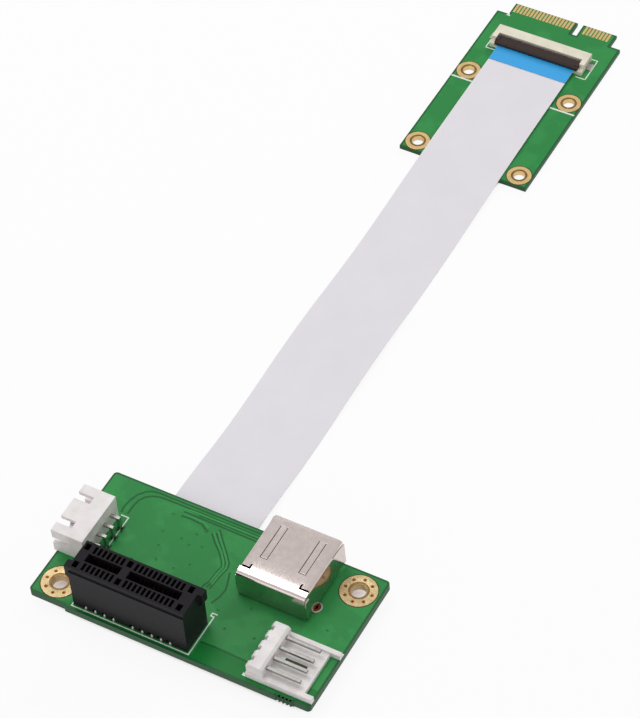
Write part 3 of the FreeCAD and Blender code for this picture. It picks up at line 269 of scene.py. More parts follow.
def paint(value):
    """A colour with its alpha, or a node's socket as it is."""
    return value if isinstance(value, bpy.types.NodeSocket) else (*value, 1.0)


def darker(value, share):
    return tuple(channel * share for channel in value)


def laminate_finish(boards):
    """Glass laminate: green lacquer on its faces and bare glass on its cut edges."""
    finish = Finish("solder_mask", Specular_IOR_Level=LACQUER_GLOSS)
    pour = finish.between(finish.noise(0.16, 3), 0.0, 1.0, 0.4, 0.62)
    grain = finish.noise(5.5, 3)
    green = finish.mix(finish.between(pour, 0.5, 1.0), boards.mask_deep, boards.mask)
    x, y, _ = finish.node("ShaderNodeSeparateXYZ", {0: finish.place}).outputs
    left, front = BASE_LOW.x / MM, BASE_LOW.y / MM

    def bare(front_of, right_of):
        """1 before one depth and past one width of the base board, each with a soft start."""
        near = finish.between(y, 1.0, 0.0, *((front + stop) * MM for stop in front_of))
        past = finish.between(x, 0.0, 1.0, *((left + stop) * MM for stop in right_of))
        return finish.combine(near, past, "MULTIPLY")

    # Painted shade: the copper-free strip along the front takes a deeper green that also stands in
    # for the card slot's shadow on it.
    no_copper_and_slot_shade = finish.combine(
        bare((4.3, 4.5), (35.2, 35.7)), bare((1.0, 2.2), (5.5, 9.0)), "MAXIMUM"
    )
    green = finish.mix(no_copper_and_slot_shade, green, boards.strip)
    green = finish.mix(finish.between(grain, 0.0, 0.22), green, darker(boards.mask, 0.72))
    facing = finish.node("ShaderNodeTexCoord").outputs["Normal"]
    upright = finish.node("ShaderNodeSeparateXYZ", {0: facing}).outputs[2]
    flat = finish.between(finish.combine(upright, 0, "ABSOLUTE"), 0.0, 1.0, 0.5, 0.7)
    glass = finish.mix(
        finish.between(finish.noise(3.0, 2, (0.4, 0.4, 6)), 0.0, 1.0),
        darker(boards.edge, 0.75), boards.edge,
    )
    roughness = finish.between(finish.combine(pour, flat, "MULTIPLY"), 0.42, 0.3, 0, 1)
    weave = [
        finish.node(
            "ShaderNodeTexWave",
            {"Vector": finish.place, "Scale": 0.7 / MM, "Distortion": 1.5, "Detail": 1},
            bands_direction=way,
        ).outputs[1]
        for way in "XY"
    ]
    return finish.done(
        finish.mix(flat, glass, green), roughness, finish.combine(*weave), 0.004, 0.06
    )


def lacquer_finish(name, shade):
    """Plain lacquer over one piece of copper, or over a gap in it."""
    finish = Finish(name, Specular_IOR_Level=LACQUER_GLOSS)
    grain = finish.noise(4.0, 3)
    body = finish.mix(finish.between(grain, 0, 1), darker(shade, 0.82), shade)
    return finish.done(body, finish.between(grain, 0.3, 0.42), grain, 0.003)


def legend_finish(boards):
    """Printed ink, thin enough for the lacquer to tell in places."""
    finish = Finish("legend_ink", Specular_IOR_Level=0.3)
    patchy = finish.noise(7.0, 4)
    thin = finish.between(patchy, 0.35, 0.0, 0.25, 0.5)
    ink = finish.mix(thin, boards.legend, boards.mask)
    return finish.done(ink, finish.between(patchy, 0.5, 0.7), patchy, 0.006)


def plated_finish(name, bright, deep, roughness=0.3, scratch=(1, 1, 1), rounded_mm=0.04):
    """Plated metal with handling marks and a slightly uneven tone."""
    finish = Finish(name, Metallic=1.0)
    stain = finish.noise(0.9, 3)
    scuff = finish.noise(9.0, 4, scratch)
    handled = finish.between(scuff, roughness * 0.75, roughness * 1.35)
    body = finish.mix(finish.between(stain, 0.0, 0.75), bright, deep)
    return finish.done(body, handled, scuff, 0.0016, rounded_mm)


def solder_finish(metals):
    """Reflowed solder: bright and slightly frosted."""
    finish = Finish("solder", Metallic=1.0)
    frost = finish.noise(6.0, 5)
    body = finish.mix(finish.between(frost, 0, 1), darker(metals.solder, 0.7), metals.solder)
    return finish.done(body, finish.between(frost, 0.22, 0.45), frost, 0.01)


def moulded_finish(name, shade, roughness, rounded_mm=0.08, edge_highlight=0.0, **surface):
    """Moulded plastic: fine mould grain, faint flow marks, softly rounded edges, and a painted
    highlight along the sharp edges where asked.
    """
    finish = Finish(name, **surface)
    flow = finish.noise(0.35, 3)
    grain = finish.noise(11.0, 3)
    body = finish.mix(finish.between(flow, 0, 1), darker(shade, 0.86), shade)
    # Painted highlight: the sharp edges are lightened towards a paler copy of the colour.
    if edge_highlight:
        pale = tuple(min(1.0, channel * 2.2 + 0.03) for channel in shade)
        edge = finish.combine(finish.edge_highlight(rounded_mm * 1.4), edge_highlight, "MULTIPLY")
        body = finish.mix(edge, body, pale)
    grained = finish.between(grain, roughness - 0.08, roughness + 0.1)
    return finish.done(body, grained, grain, 0.005, rounded_mm)


def film_finish(name, shade, ribbon, lines):
    """Polyester film with the flat conductors telling through it."""
    finish = Finish(name, IOR=1.6, Coat_Weight=0.3, Coat_Roughness=0.2)
    cloud = finish.noise(0.12, 2)
    body = finish.mix(finish.between(cloud, 0, 1), darker(shade, 0.965), shade)
    stripe = finish.node(
        "ShaderNodeTexWave",
        {"Vector": finish.place, "Scale": 0.314 / ribbon.pitch},
        bands_direction="X", wave_profile="SIN",
    ).outputs[1]
    body = finish.mix(finish.between(stripe, 0, lines, 0.2, 0.9), body, darker(shade, 0.7))
    return finish.done(body, finish.between(finish.noise(1.5, 3), 0.36, 0.48), stripe, 0.004)


def dress(finish, *nodes):
    """Gives CAD nodes a finish through their objects' own material slots."""
    for node in nodes:
        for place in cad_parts[node].material_slots:
            place.link = "OBJECT"
            place.material = finish


# ---------------------------------------------------------------- shapes


def put(name, data):
    """Puts a mesh, a lamp or a camera in the scene."""
    made = bpy.data.objects.new(name, data)
    bpy.context.scene.collection.objects.link(made)
    return made


def mesh_of(name, bm):
    """A mesh of worked-up geometry."""
    mesh = bpy.data.meshes.new(name)
    bm.to_mesh(mesh)
    bm.free()
    return mesh


def piece(name, bm, finishes, body=BOARDS, sharp=32):
    """Turns worked-up geometry into one named piece that rides on a body."""
    bmesh.ops.recalc_face_normals(bm, faces=bm.faces)
    mesh = mesh_of(name, bm)
    for finish in finishes:
        mesh.materials.append(finish)
    mesh.polygons.foreach_set("use_smooth", [True] * len(mesh.polygons))
    mesh.set_sharp_from_angle(angle=math.radians(sharp))
    made = put(name, mesh)
    made.modifiers.new("even_shading", "WEIGHTED_NORMAL").keep_sharp = True
    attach(made, body)
    return made


def skin(bm, rows, around=True, finish=0, left_out=None):
    """Faces from each row of points to the next, round each row or along it."""
    for index, (near, far) in enumerate(zip(rows, rows[1:])):
        for step in range(len(near) if around else len(near) - 1):
            after = (step + 1) % len(near)
            corners = list(dict.fromkeys((near[step], near[after], far[after], far[step])))
            if len(corners) > 2 and not (left_out and left_out(index, step, after)):
                bm.faces.new(corners).material_index = finish


def turned(bm, x, y, profile, level, up=1, sides=48, finish=0, spread=(1.0, 1.0)):
    """A closed profile turned about an upright line through x, y.

    The profile is (radius, height off the level) in millimetres, going up or down from it.
    """
    rings = []
    for radius, height in profile:
        height = level + height * MM * up
        if radius == 0:
            rings.append([bm.verts.new((x, y, height))] * sides)
            continue
        rings.append([
            bm.verts.new((
                x + radius * MM * spread[0] * math.cos(math.tau * step / sides),
                y + radius * MM * spread[1] * math.sin(math.tau * step / sides),
                height,
            ))
            for step in range(sides)
        ])
    skin(bm, [*rings, rings[0]], finish=finish)


def block(bm, low, high, soft=0.0, steps=2, finish=0):
    """A rounded block between two corners."""
    made = bmesh.ops.create_cube(bm, size=1)["verts"]
    low, high = Vector(low), Vector(high)
    for vert in made:
        vert.co = Vector([a + (b - a) * (c + 0.5) for a, b, c in zip(low, high, vert.co)])
    faces = {face for vert in made for face in vert.link_faces}
    if soft:
        edges = {edge for vert in made for edge in vert.link_edges}
        faces = set(bmesh.ops.bevel(
            bm, geom=list(edges), offset=soft, segments=steps, profile=0.5,
            affect="EDGES", clamp_overlap=True,
        )["faces"]) | {face for face in faces if face.is_valid}
    for face in faces:
        face.material_index = finish


def band(bm, line, width, low, high):
    """A thin flat strip that follows a line of (x, y) points, mitred at its bends."""
    points = [Vector(point) for point in line]
    rows = []
    for index, point in enumerate(points):
        near = points[max(index - 1, 0):index + 2]
        ways = [(after - before).normalized() for before, after in zip(near, near[1:])]
        along = sum(ways, Vector((0, 0))).normalized()
        side = Vector((-along.y, along.x)) * (width / 2 / max(0.5, abs(along.dot(ways[0]))))
        left, right = point + side, point - side
        rows.append([
            bm.verts.new((*spot, height))
            for spot, height in ((left, low), (right, low), (right, high), (left, high))
        ])
    skin(bm, rows)
    for end in (rows[0], rows[-1]):
        bm.faces.new(end)


def shape_of(node):
    """The shape of a CAD node, with its faces joined at their edges."""
    bm = bmesh.new()
    bm.from_mesh(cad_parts[node].data)
    bmesh.ops.remove_doubles(bm, verts=bm.verts, dist=0.001 * MM)
    return bm


def islands(node, keep, apart=0.5 * MM):
    """Where the parts of a CAD node that keep() picks stand, as (low, high) pairs."""
    bm = shape_of(node)
    found, done = [], set()
    for first in bm.verts:
        if first in done:
            continue
        solid = [first]
        done.add(first)
        for vert in solid:
            for edge in vert.link_edges:
                other = edge.other_vert(vert)
                if other not in done:
                    done.add(other)
                    solid.append(other)
        found += clusters([vert.co.copy() for vert in solid if keep(vert.co)], apart)
    bm.free()
    return found


def clusters(spots, apart):
    """Groups of points that stand nearer than that to each other, as (low, high) pairs."""
    groups = []
    for spot in spots:
        near = [
            group for group in groups
            if any((spot.xy - other.xy).length < apart for other in group)
        ]
        groups = [group for group in groups if not any(group is other for other in near)]
        groups.append([spot] + [other for group in near for other in group])
    return [
        (Vector([min(axis) for axis in zip(*group)]), Vector([max(axis) for axis in zip(*group)]))
        for group in groups
    ]


def on_board(node, x, y):
    """A place on a board, in millimetres from its front left corner."""
    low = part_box(node)[0]
    return low.x + x * MM, low.y + y * MM


def lines_on(bm, node, lines, wide, raised):
    """Flat strips on a board's upper face, each at a share of a common width."""
    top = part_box(node)[1].z
    for line, share in lines:
        band(bm, [on_board(node, *spot) for spot in line], wide * share,
             top - LAID_DEEP, top + raised * MM)


# ---------------------------------------------------------------- pieces


class Step:
    """What each step shares: it builds its pieces from the scene's settings."""

    bl_options = {"REGISTER", "UNDO"}

    def execute(self, context):
        self.build(context.scene)
        return {"FINISHED"}


class RISER_OT_boards(Step, bpy.types.Operator):
    """Lacquer on both boards, with their copper gaps, tracks, through-holes and legend"""

    bl_idname = "riser.boards"
    bl_label = "Boards"

    gaps = (
        ((6.3, 24.2), (6.1, 25.6), (6.3, 27.4), (6.9, 29.2), (8.0, 30.6), (9.2, 31.3),
         (10.6, 31.5), (36.0, 31.5)),
        ((7.6, 24.4), (7.6, 26.6), (7.9, 28.2), (8.6, 29.4), (9.7, 30.2), (11.2, 30.7),
         (13.5, 30.8), (36.0, 30.8)),
        ((20.2, 30.2), (36.0, 30.2)),
        ((17.2, 29.7), (36.0, 29.5)),
        ((17.2, 28.6), (19.4, 28.7), (21.9, 28.5), (23.2, 27.7), (23.9, 27.5)),
        ((24.7, 27.5), (26.3, 25.8), (28.2, 24.2), (29.7, 22.5), (30.4, 21.4), (30.1, 19.2),
         (30.0, 17.2), (29.5, 16.1), (29.5, 9.0)),
        ((25.4, 28.0), (26.8, 26.5), (28.9, 24.5), (30.5, 22.6), (31.0, 21.4), (30.7, 19.4),
         (30.5, 17.0), (30.2, 15.8)),
        ((25.6, 28.9), (27.4, 26.9), (29.4, 24.8), (31.3, 22.6), (31.6, 21.3), (31.2, 19.2),
         (31.0, 16.5), (30.9, 15.8)),
        ((32.5, 20.8), (33.5, 18.0), (33.8, 16.8), (33.6, 15.0), (32.9, 13.0)),
        ((35.5, 4.4), (38.5, 4.5), (46.0, 4.3)),
    )
    tracks = (
        ((25.0, 27.75), (26.5, 26.2), (28.6, 24.3), (30.1, 22.5), (30.7, 21.4), (30.4, 19.3),
         (30.25, 17.1)),
        ((25.6, 28.4), (27.1, 26.7), (29.1, 24.65), (30.9, 22.6), (31.3, 21.35), (30.95, 19.3),
         (30.75, 16.8)),
        ((18.0, 30.5), (36.0, 30.5)),
        ((19.0, 29.15), (22.2, 29.0), (23.6, 28.2)),
    )
    vias = (
        (15.9, 23.8), (20.1, 23.8), (16.9, 20.5), (22.1, 23.1), (24.6, 23.8), (22.2, 26.0),
        (24.6, 19.1), (22.3, 17.0), (15.6, 28.3), (13.9, 15.4), (18.2, 17.3), (23.4, 27.2),
        (34.8, 12.2), (40.3, 15.2), (44.2, 9.5), (38.1, 9.0), (55.6, 17.2),
    )

    outlines = {
        "base_board": (
            (((9.4, 10.9), (9.4, 0.8), (35.0, 0.8), (35.0, 10.4), (34.3, 10.4), (34.3, 11.1),
              (35.4, 11.1)), 1.0),
            (((8.3, 9.6), (8.3, 23.6), (6.6, 23.6)), 1.0),
            (((46.2, 1.55), (61.0, 1.55)), 2.6),
            (((46.2, 13.5), (61.0, 13.5)), 2.6),
        ),
        "mini_board": (
            (((2.95, 35.2), (2.95, 41.6), (27.1, 41.6), (27.1, 35.2)), 1.0),
            (((2.95, 35.2), (5.1, 35.2)), 1.0),
            (((24.8, 35.2), (27.1, 35.2)), 1.0),
            (((0.15, 24.15), (5.4, 24.15)), 1.7),
            (((24.0, 24.15), (29.8, 24.15)), 1.7),
        ),
    }
    first_pin_mark = ((2.3, 46.4), (3.4, 46.4), (2.85, 47.2))
    ink_thick = 0.015

    def build(self, scene):
        boards = scene.riser_boards
        dress(laminate_finish(boards), "base_board", "mini_board")
        dark = lacquer_finish("lacquer_in_gaps", darker(boards.mask_deep, 0.64))
        pale = lacquer_finish("lacquer_on_tracks", tuple(min(1, c * 1.16) for c in boards.mask))
        for name, lines, wide, raised, finish in (
            ("base_board_gaps", self.gaps, boards.gap, 0.006, dark),
            ("base_board_tracks", self.tracks, boards.track, 0.03, pale),
        ):
            bm = bmesh.new()
            lines_on(bm, "base_board", [(line, 1) for line in lines], wide, raised)
            piece(name, bm, [finish])
        bm = bmesh.new()
        wide = boards.via / MM
        for spot in self.vias:
            for level, up in ((BASE_HIGH.z, 1), (BASE_LOW.z, -1)):
                turned(bm, *on_board("base_board", *spot), (
                    (wide, SUNK), (wide, 0.02), (wide * 0.8, 0.035), (wide * 0.45, 0.03),
                    (wide * 0.35, 0.008), (0, 0.004),
                ), level, up, 20)
        piece("base_board_vias", bm, [lacquer_finish("lacquer_on_vias", darker(boards.mask, 0.8))])
        ink = legend_finish(boards)
        for node, lines in self.outlines.items():
            bm = bmesh.new()
            lines_on(bm, node, lines, boards.legend_line, self.ink_thick)
            if node == "mini_board":
                level = MINI_HIGH.z + self.ink_thick * MM
                bm.faces.new([bm.verts.new((*on_board(node, *spot), level))
                              for spot in self.first_pin_mark])
            piece(node + "_legend", bm, [ink])
        for node in self.outlines:
            piece(node + "_rim", self.rim(node, boards.rim), [dark])

    @staticmethod
    def rim(node, wide):
        """The darker strip just inside the outline, where the copper stops short of the edge."""
        low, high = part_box(node)
        bm = shape_of(node)
        bm.normal_update()
        sides = [face for face in bm.faces if abs(face.normal.z) < 0.9]
        bmesh.ops.delete(bm, geom=sides, context="FACES")
        inner = set(bm.faces)
        made = set(bmesh.ops.inset_region(
            bm, faces=bm.faces, thickness=wide, use_boundary=True, use_even_offset=True,
        )["faces"])
        bmesh.ops.delete(bm, geom=[face for face in inner - made if face.is_valid],
                         context="FACES")
        middle = (low.z + high.z) / 2
        for vert in bm.verts:
            vert.co.z += math.copysign(0.004 * MM, vert.co.z - middle)
        return bm


class RISER_OT_eyelets(Step, bpy.types.Operator):
    """Plated rings and barrels of the fixing holes, with the stitching round the large ones"""

    bl_idname = "riser.eyelets"
    bl_label = "Plated holes"

    stitches_at = 0.745

    def build(self, scene):
        metals = scene.riser_metals
        gold = plated_finish("gold_rings", metals.gold, metals.gold_deep, 0.36)
        copper = plated_finish("stitching_copper", metals.copper, darker(metals.copper, 0.6), 0.4)
        groove = lacquer_finish("lacquer_round_rings", darker(metals.gold_deep, 0.16))
        # A darker brown band round each hole, on both faces.
        dark_band_gold = plated_finish("gold_dark_band_round_hole", darker(metals.gold_deep, 0.62),
                                  darker(metals.copper, 0.75), 0.42)
        # Painted highlight: the mini card's rings take a brighter copy of the gold, in place of the
        # key light's reflection that the base board's rings catch.
        lit_copy_gold = plated_finish("gold_screw_rings_lit_copy", metals.hard_gold, metals.gold, 0.34)
        tall = metals.ring / MM
        for name, node, centres, hole, ring, low, high, stitches, face in (
            ("base_hole_eyelets", "base_hole_pads", FIXING_CENTRES, 1.6, 3.7,
             BASE_LOW.z, BASE_HIGH.z, 8, gold),
            ("mini_hole_eyelets", "mini_hole_pads", SCREW_CENTRES, 1.3, 2.66,
             MINI_LOW.z, MINI_HIGH.z, 0, lit_copy_gold),
        ):
            bm = bmesh.new()
            for x, y in centres:
                inner = hole - metals.barrel / MM
                self.eyelet(bm, x * MM, y * MM, hole, inner, ring, tall, low, high)
                at = self.stitches_at * ring
                turns = [math.tau * (step + 0.05) / stitches for step in range(stitches)]
                spots = [(x + at * math.cos(turn), y + at * math.sin(turn)) for turn in turns]
                for across, along in spots:
                    for level, up in ((high, 1), (low, -1)):
                        turned(bm, across * MM, along * MM, (
                            (0.36, tall + SUNK), (0.34, tall + 0.012), (0.25, tall + 0.014),
                            (0.16, tall + 0.004), (0, tall + 0.003),
                        ), level, up, 16, finish=1)
            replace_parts(piece(name, bm, [face, copper, groove, dark_band_gold]), node)

    @staticmethod
    def eyelet(bm, x, y, hole, inner, ring, tall, low, high):
        """A ring on each face and the barrel between, with the groove and the darker band round the
        hole on each.
        """
        soft = 0.02
        flat = hole + 0.1
        under = (low - high) / MM
        turned(bm, x, y, (
            (ring, -soft), (ring, tall - soft), (ring - soft, tall), (flat, tall),
            (inner + soft, tall - soft), (inner, 0), (inner, under),
            (inner + soft, under - tall + soft), (flat, under - tall),
            (ring - soft, under - tall), (ring, under - tall + soft), (ring, under + soft),
            (hole, under + soft), (hole, -soft),
        ), high, sides=72)
        for level, up in ((high, 1), (low, -1)):
            turned(bm, x, y, (
                (ring + 0.2, 0.006), (ring, 0.006), (ring, SUNK), (ring + 0.2, SUNK),
            ), level, up, 72, finish=2)
            turned(bm, x, y, (
                (hole + 0.5, tall + SUNK), (hole + 0.46, tall + 0.012),
                (hole + 0.06, tall + 0.012), (inner, tall - 0.04),
            ), level, up, 72, finish=3)


class RISER_OT_solder(Step, bpy.types.Operator):
    """Solder joints round every lead, pads under the surface leads, and the USB leg's ring"""

    bl_idname = "riser.solder"
    bl_label = "Solder joints"

    cone_tall = 0.62
    ring_wide = 1.25
    pad_room = 0.12 * MM
    front_leads_in = 0.08 * MM
    front_leads = (12.4, 14.5, 16.5, 18.5, 22.7, 24.8, 26.9, 28.9, 30.9)

    def build(self, scene):
        metals = scene.riser_metals
        solder = solder_finish(metals)
        # A brown disc inside the USB leg's tinned rim.
        brown_centre = plated_finish("leg_ring_brown_centre", darker(metals.copper, 0.8),
                             darker(metals.copper, 0.35), 0.45)
        gold = plated_finish("gold_pads", metals.gold, metals.gold_deep, 0.34)
        under = BASE_LOW.z
        for name, node, pad, apart in (
            ("slot_joints", "slot_contacts", 0.34, 0.5),
            ("power_joints", "power_pins", 0.6, 0.9),
            ("header_joints", "header_pins", 0.6, 0.9),
            ("usb_contact_joints", "usb_contacts", 0.42, 1.3),
            ("usb_leg_joints", "usb_shell", 0.55, 2.2),
        ):
            bm = bmesh.new()
            for low, high in islands(node, lambda spot: spot.z < under - 0.1 * MM, apart * MM):
                self.joint(bm, low, high, under, pad)
                if node == "usb_shell":
                    self.ring(bm, low, high, BASE_HIGH.z)
            piece(name, bm, [solder, brown_centre])
        bm = bmesh.new()
        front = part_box("slot_housing")[0].y + self.front_leads_in
        for across in self.front_leads:
            turned(bm, on_board("base_board", across, 0)[0], front, (
                (0.36, SUNK), (0.36, 0.03), (0.3, 0.35), (0.22, 0.62), (0.1, 0.78), (0, 0.82),
            ), BASE_HIGH.z, sides=16)
        piece("slot_front_joints", bm, [solder])
        for name, nodes, level, up in (
            ("base_socket_pads", ("base_socket_contacts", "base_socket_hold_downs"), under, -1),
            ("mini_socket_pads", ("mini_socket_contacts", "mini_socket_hold_downs"),
             MINI_HIGH.z, 1),
        ):
            bm = bmesh.new()
            for node in nodes:
                for low, high in islands(node, lambda spot: abs(spot.z - level) < 0.06 * MM):
                    self.pad(bm, low, high, level, up)
            piece(name, bm, [gold, solder])

    def joint(self, bm, low, high, level, collar):
        """A hollow-sided cone of solder down a lead, on its pad."""
        middle, half = (low + high) / 2, (high - low) / 2 / MM
        lead = max(min(half.x, half.y), 0.12)
        rim, tall = collar + lead, self.cone_tall
        turned(bm, middle.x, middle.y, (
            (rim, SUNK), (rim, 0.035), (rim * 0.93, 0.06), (lead + collar * 0.55, 0.14),
            (lead + collar * 0.28, tall * 0.55), (lead + collar * 0.1, tall * 0.8),
            (lead * 1.05, tall), (lead * 0.2, tall), (lead * 0.2, SUNK),
        ), level, -1, 20, spread=[(collar + max(side, lead)) / rim for side in half.xy])

    def ring(self, bm, low, high, level):
        """The tinned rim of a leg's slot, seen from above, with a brown disc inside it and the leg
        standing in it.
        """
        middle, half = (low + high) / 2, (high - low) / 2 / MM
        wide = self.ring_wide
        spread = (half.x / wide + 1, half.y / wide + 0.3)
        turned(bm, middle.x, middle.y, (
            (wide, SUNK), (wide, 0.06), (wide * 0.93, 0.16), (wide * 0.82, 0.16),
            (wide * 0.74, 0.05), (wide * 0.74, SUNK),
        ), level, sides=40, spread=spread)
        turned(bm, middle.x, middle.y, (
            (wide * 0.76, SUNK), (wide * 0.76, 0.03), (0, 0.03),
        ), level, sides=32, finish=1, spread=spread)

    def pad(self, bm, low, high, level, up):
        """A plated pad and the solder that holds a surface lead down on it."""
        room = self.pad_room
        for finish, sunk, tall, aside, along, soft in (
            (0, 0.005, 0.03, 0.4, 2, 0.01), (1, 0, 0.11, 0.2, 1, 0.05),
        ):
            faces = sorted((level - sunk * MM * up, level + tall * MM * up))
            block(bm, (low.x - room * aside, low.y - room * along, faces[0]),
                  (high.x + room * aside, high.y + room * along, faces[1]),
                  soft * MM, 1 + finish, finish)


class RISER_OT_slot(Step, bpy.types.Operator):
    """Finishes of the card slot and its spring contacts"""

    bl_idname = "riser.slot"
    bl_label = "Card slot"

    def build(self, scene):
        plastics = scene.riser_plastics
        metals = scene.riser_metals
        # The slot's sharp edges take a painted highlight.
        dress(moulded_finish("slot_nylon", plastics.slot, 0.42, 0.1, edge_highlight=0.45,
                             Specular_IOR_Level=0.12), "slot_housing")
        dress(plated_finish("spring_plating", darker(metals.gold_deep, 0.6),
                            darker(metals.copper, 0.5), 0.4), "slot_contacts")
        dress(plated_finish("contact_plating", metals.hard_gold, metals.gold, 0.34),
              "edge_fingers_top", "edge_fingers_bottom")


class RISER_OT_usb(Step, bpy.types.Operator):
    """The USB socket: a folded sheet shell with a rear cover, its tongue and its contacts"""

    bl_idname = "riser.usb"
    bl_label = "USB socket"

    # All in millimetres: across from the middle, along from the rear or back from the mouth.
    sheet = 0.3
    fold = 0.7
    lean = 0.22
    lip_in = 1.1
    roof_lip, roof_flare = 1.4, 0.03
    side_lip, wall_flare = 4.1, 0.2
    springs, spring_half, spring_long, spring_dip = 4.15, 0.65, 8.2, 0.05
    spring_root = 1.8
    slit = 0.14
    bump_at, bump_high, bump_wide, bump_long = 0.4, 0.06, 0.4, 0.3
    rear_gap, open_rear, join, bow = 0.3, 2.15, 3.0, 5.4
    roof_bends = (3.4, 3.8, 4.6)
    bow_drop = 0.05
    join_half = 5.2
    hook = 0.36
    ears, ear_long, ear_thick = (4.9, 9.3), 1.35, 0.24
    leg_back, leg_half = 3.8, 1
    wall_middle = 7.5

    def build(self, scene):
        plastics = scene.riser_plastics
        metals = scene.riser_metals
        nickel = plated_finish("nickel_shell", metals.shell, darker(metals.shell, 0.88), 0.14,
                               scratch=(1, 0.12, 1), rounded_mm=0.1)
        dress(moulded_finish("usb_tongue", plastics.tongue, 0.45), "usb_insulator")
        dress(plated_finish("usb_plating", metals.hard_gold, metals.gold, 0.3), "usb_contacts")
        low, high = (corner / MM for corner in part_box("usb_shell"))
        rear, front = (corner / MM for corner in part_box("usb_rear_cover"))
        self.middle = (rear.x + front.x) / 2
        self.half = (front.x - rear.x) / 2
        self.floor, self.roof = BASE_HIGH.z / MM, front.z
        self.rear, self.mouth = rear.y, high.y
        self.root = self.mouth - self.spring_root
        self.tip = self.root - self.spring_long
        bm = bmesh.new()
        self.tube(bm)
        self.cover(bm)
        bmesh.ops.remove_doubles(bm, verts=bm.verts, dist=0.005 * MM)
        shell = self.folded("usb_shell_sheet", bm, nickel)
        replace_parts(shell, "usb_shell", "usb_rear_cover")
        bm = bmesh.new()
        self.ears_and_legs(bm, low.z)
        piece("usb_ears_and_legs", bm, [nickel])

    def folded(self, name, bm, finish):
        """Gives the sheet its thickness, inwards."""
        bm.normal_update()
        sheet = mesh_of(name + "_outside", bm)
        carrier = put(name + "_outside", sheet)
        thick = carrier.modifiers.new("thickness", "SOLIDIFY")
        thick.thickness = (self.sheet - 0.02) * MM
        thick.offset = -1
        thick.use_even_offset = True
        ready = carrier.evaluated_get(bpy.context.evaluated_depsgraph_get())
        worked = bmesh.new()
        worked.from_mesh(bpy.data.meshes.new_from_object(ready))
        bpy.data.objects.remove(carrier)
        bpy.data.meshes.remove(sheet)
        return piece(name, worked, [finish], sharp=40)

    def across_stops(self):
        """Where the roof's openings and bends begin and end, from its middle."""
        half = self.half
        marks = [0.0, 1.1, 2.2, self.springs, half - self.fold, half - self.lip_in,
                 self.join_half, self.join_half + self.hook]
        for away in (self.spring_half / 2, self.spring_half, self.spring_half + self.slit):
            marks += [self.springs - away, self.springs + away]
        return sorted({side * mark for mark in marks for side in (1, -1)})

    def section(self):
        """Once round the tube: (across, height, outward across, outward up, side)."""
        half, fold = self.half, self.fold
        top, foot = self.roof - fold, self.floor + fold
        walls = [top, self.roof - self.lip_in, self.wall_middle, self.floor + self.lip_in, foot]

        def corner(z, start):
            return [
                (half - fold + fold * math.cos(turn), z + fold * math.sin(turn),
                 math.cos(turn), math.sin(turn), "fold")
                for turn in (math.radians(start - step * 15) for step in range(1, 6))
            ]

        roof = [(x, self.roof, 0, 1, "roof") for x in self.across_stops()]
        side = corner(top, 90) + [(half, z, 1, 0, "wall") for z in walls] + corner(foot, 0)
        side.append((half - fold, self.floor, 0, -1, "base"))
        return [*roof, *side, (0.0, self.floor, 0, -1, "base")] + [
            (-x, z, -out_x, out_z, name) for x, z, out_x, out_z, name in reversed(side)
        ]

    def tube(self, bm):
        """The folded tube: its roof, walls and base, with slits, lips and springs."""
        tip, root = self.tip, self.root
        roof_line, side_line = self.mouth - self.roof_lip, self.mouth - self.side_lip
        steps = [tip - self.slit, tip, side_line, roof_line]
        steps += [self.rear + back for back in
                  (self.rear_gap, self.open_rear, self.join, *self.roof_bends, self.bow)]
        steps += [tip + (root - tip) * part / 8 for part in range(1, 9)]
        steps += [roof_line + self.roof_lip * part / 4 for part in range(1, 5)]
        steps = sorted({round(step, 4) for step in steps})
        points = self.section()

        def lift(x, y, side):
            """How far the roof bows, its springs dip and the coined bumps stand above it."""
            if side != "roof":
                return 0.0
            inside = min(1.0, (self.half - self.fold - abs(x))
                         / (self.half - self.fold - self.join_half))
            back = max(0.0, (self.rear + self.bow - y) / (self.bow - self.join))
            bowed = -self.bow_drop * inside * back ** 2
            away = min(abs(x - self.springs), abs(x + self.springs))
            past = y - root - self.bump_at
            bump = self.bump_high * math.exp(
                -(away / self.bump_wide) ** 2 - (past / self.bump_long) ** 2)
            if away > self.spring_half + 0.01 or not tip - 0.01 < y < root:
                return bump + bowed
            share = (root - y) / (root - tip)
            bend, rise = 0.7, 0.66
            dip = share / bend if share < bend else 1 - (share - bend) / (1 - bend) * rise
            return bump + bowed - self.spring_dip * dip

        rows = []
        for y in steps:
            row = []
            for x, z, out_x, out_z, side in points:
                begin, longest, reach = (
                    (side_line, self.side_lip, self.wall_flare) if side == "wall"
                    else (roof_line, self.roof_lip, self.roof_flare)
                )
                share = max(0.0, (y - begin) / longest)
                flare = 0.0 if side in ("base", "fold") else reach * share ** 2
                row.append(bm.verts.new((
                    (self.middle + x + out_x * flare + self.leaning(x, z)) * MM, y * MM,
                    (z + out_z * flare + lift(x, y, side)) * MM,
                )))
            rows.append(row)
        skin(bm, rows, left_out=lambda index, step, after: self.open_at(
            *[(one + other) / 2 for one, other in zip(points[step][:2], points[after][:2])],
            (steps[index] + steps[index + 1]) / 2,
        ))

    def leaning(self, x, z):
        """The walls spread a little towards the board."""
        return math.copysign(self.lean * (self.roof - z) / (self.roof - self.floor), x) if x else 0

    def open_at(self, x, z, y):
        """Whether the sheet is cut away there."""
        x, back, near = abs(x), y - self.rear, 0.02
        past_side = y > self.mouth - self.side_lip
        if z > self.roof - near:
            away = abs(x - self.springs)
            slit = away > self.spring_half and y < self.root
            return (
                back < self.open_rear or (back < self.join and x < self.join_half + self.hook)
                or (y > self.tip - self.slit and away < self.spring_half + self.slit
                    and (slit or y < self.tip))
            )
        if z < self.floor + near:
            return y > self.mouth - self.roof_lip or back < self.rear_gap
        if x > self.half - near:
            return past_side and not self.floor + self.lip_in < z < self.roof - self.fold
        if z < (self.roof + self.floor) / 2:
            return past_side
        return back < self.open_rear or (past_side and z < self.roof - self.fold * 0.4)

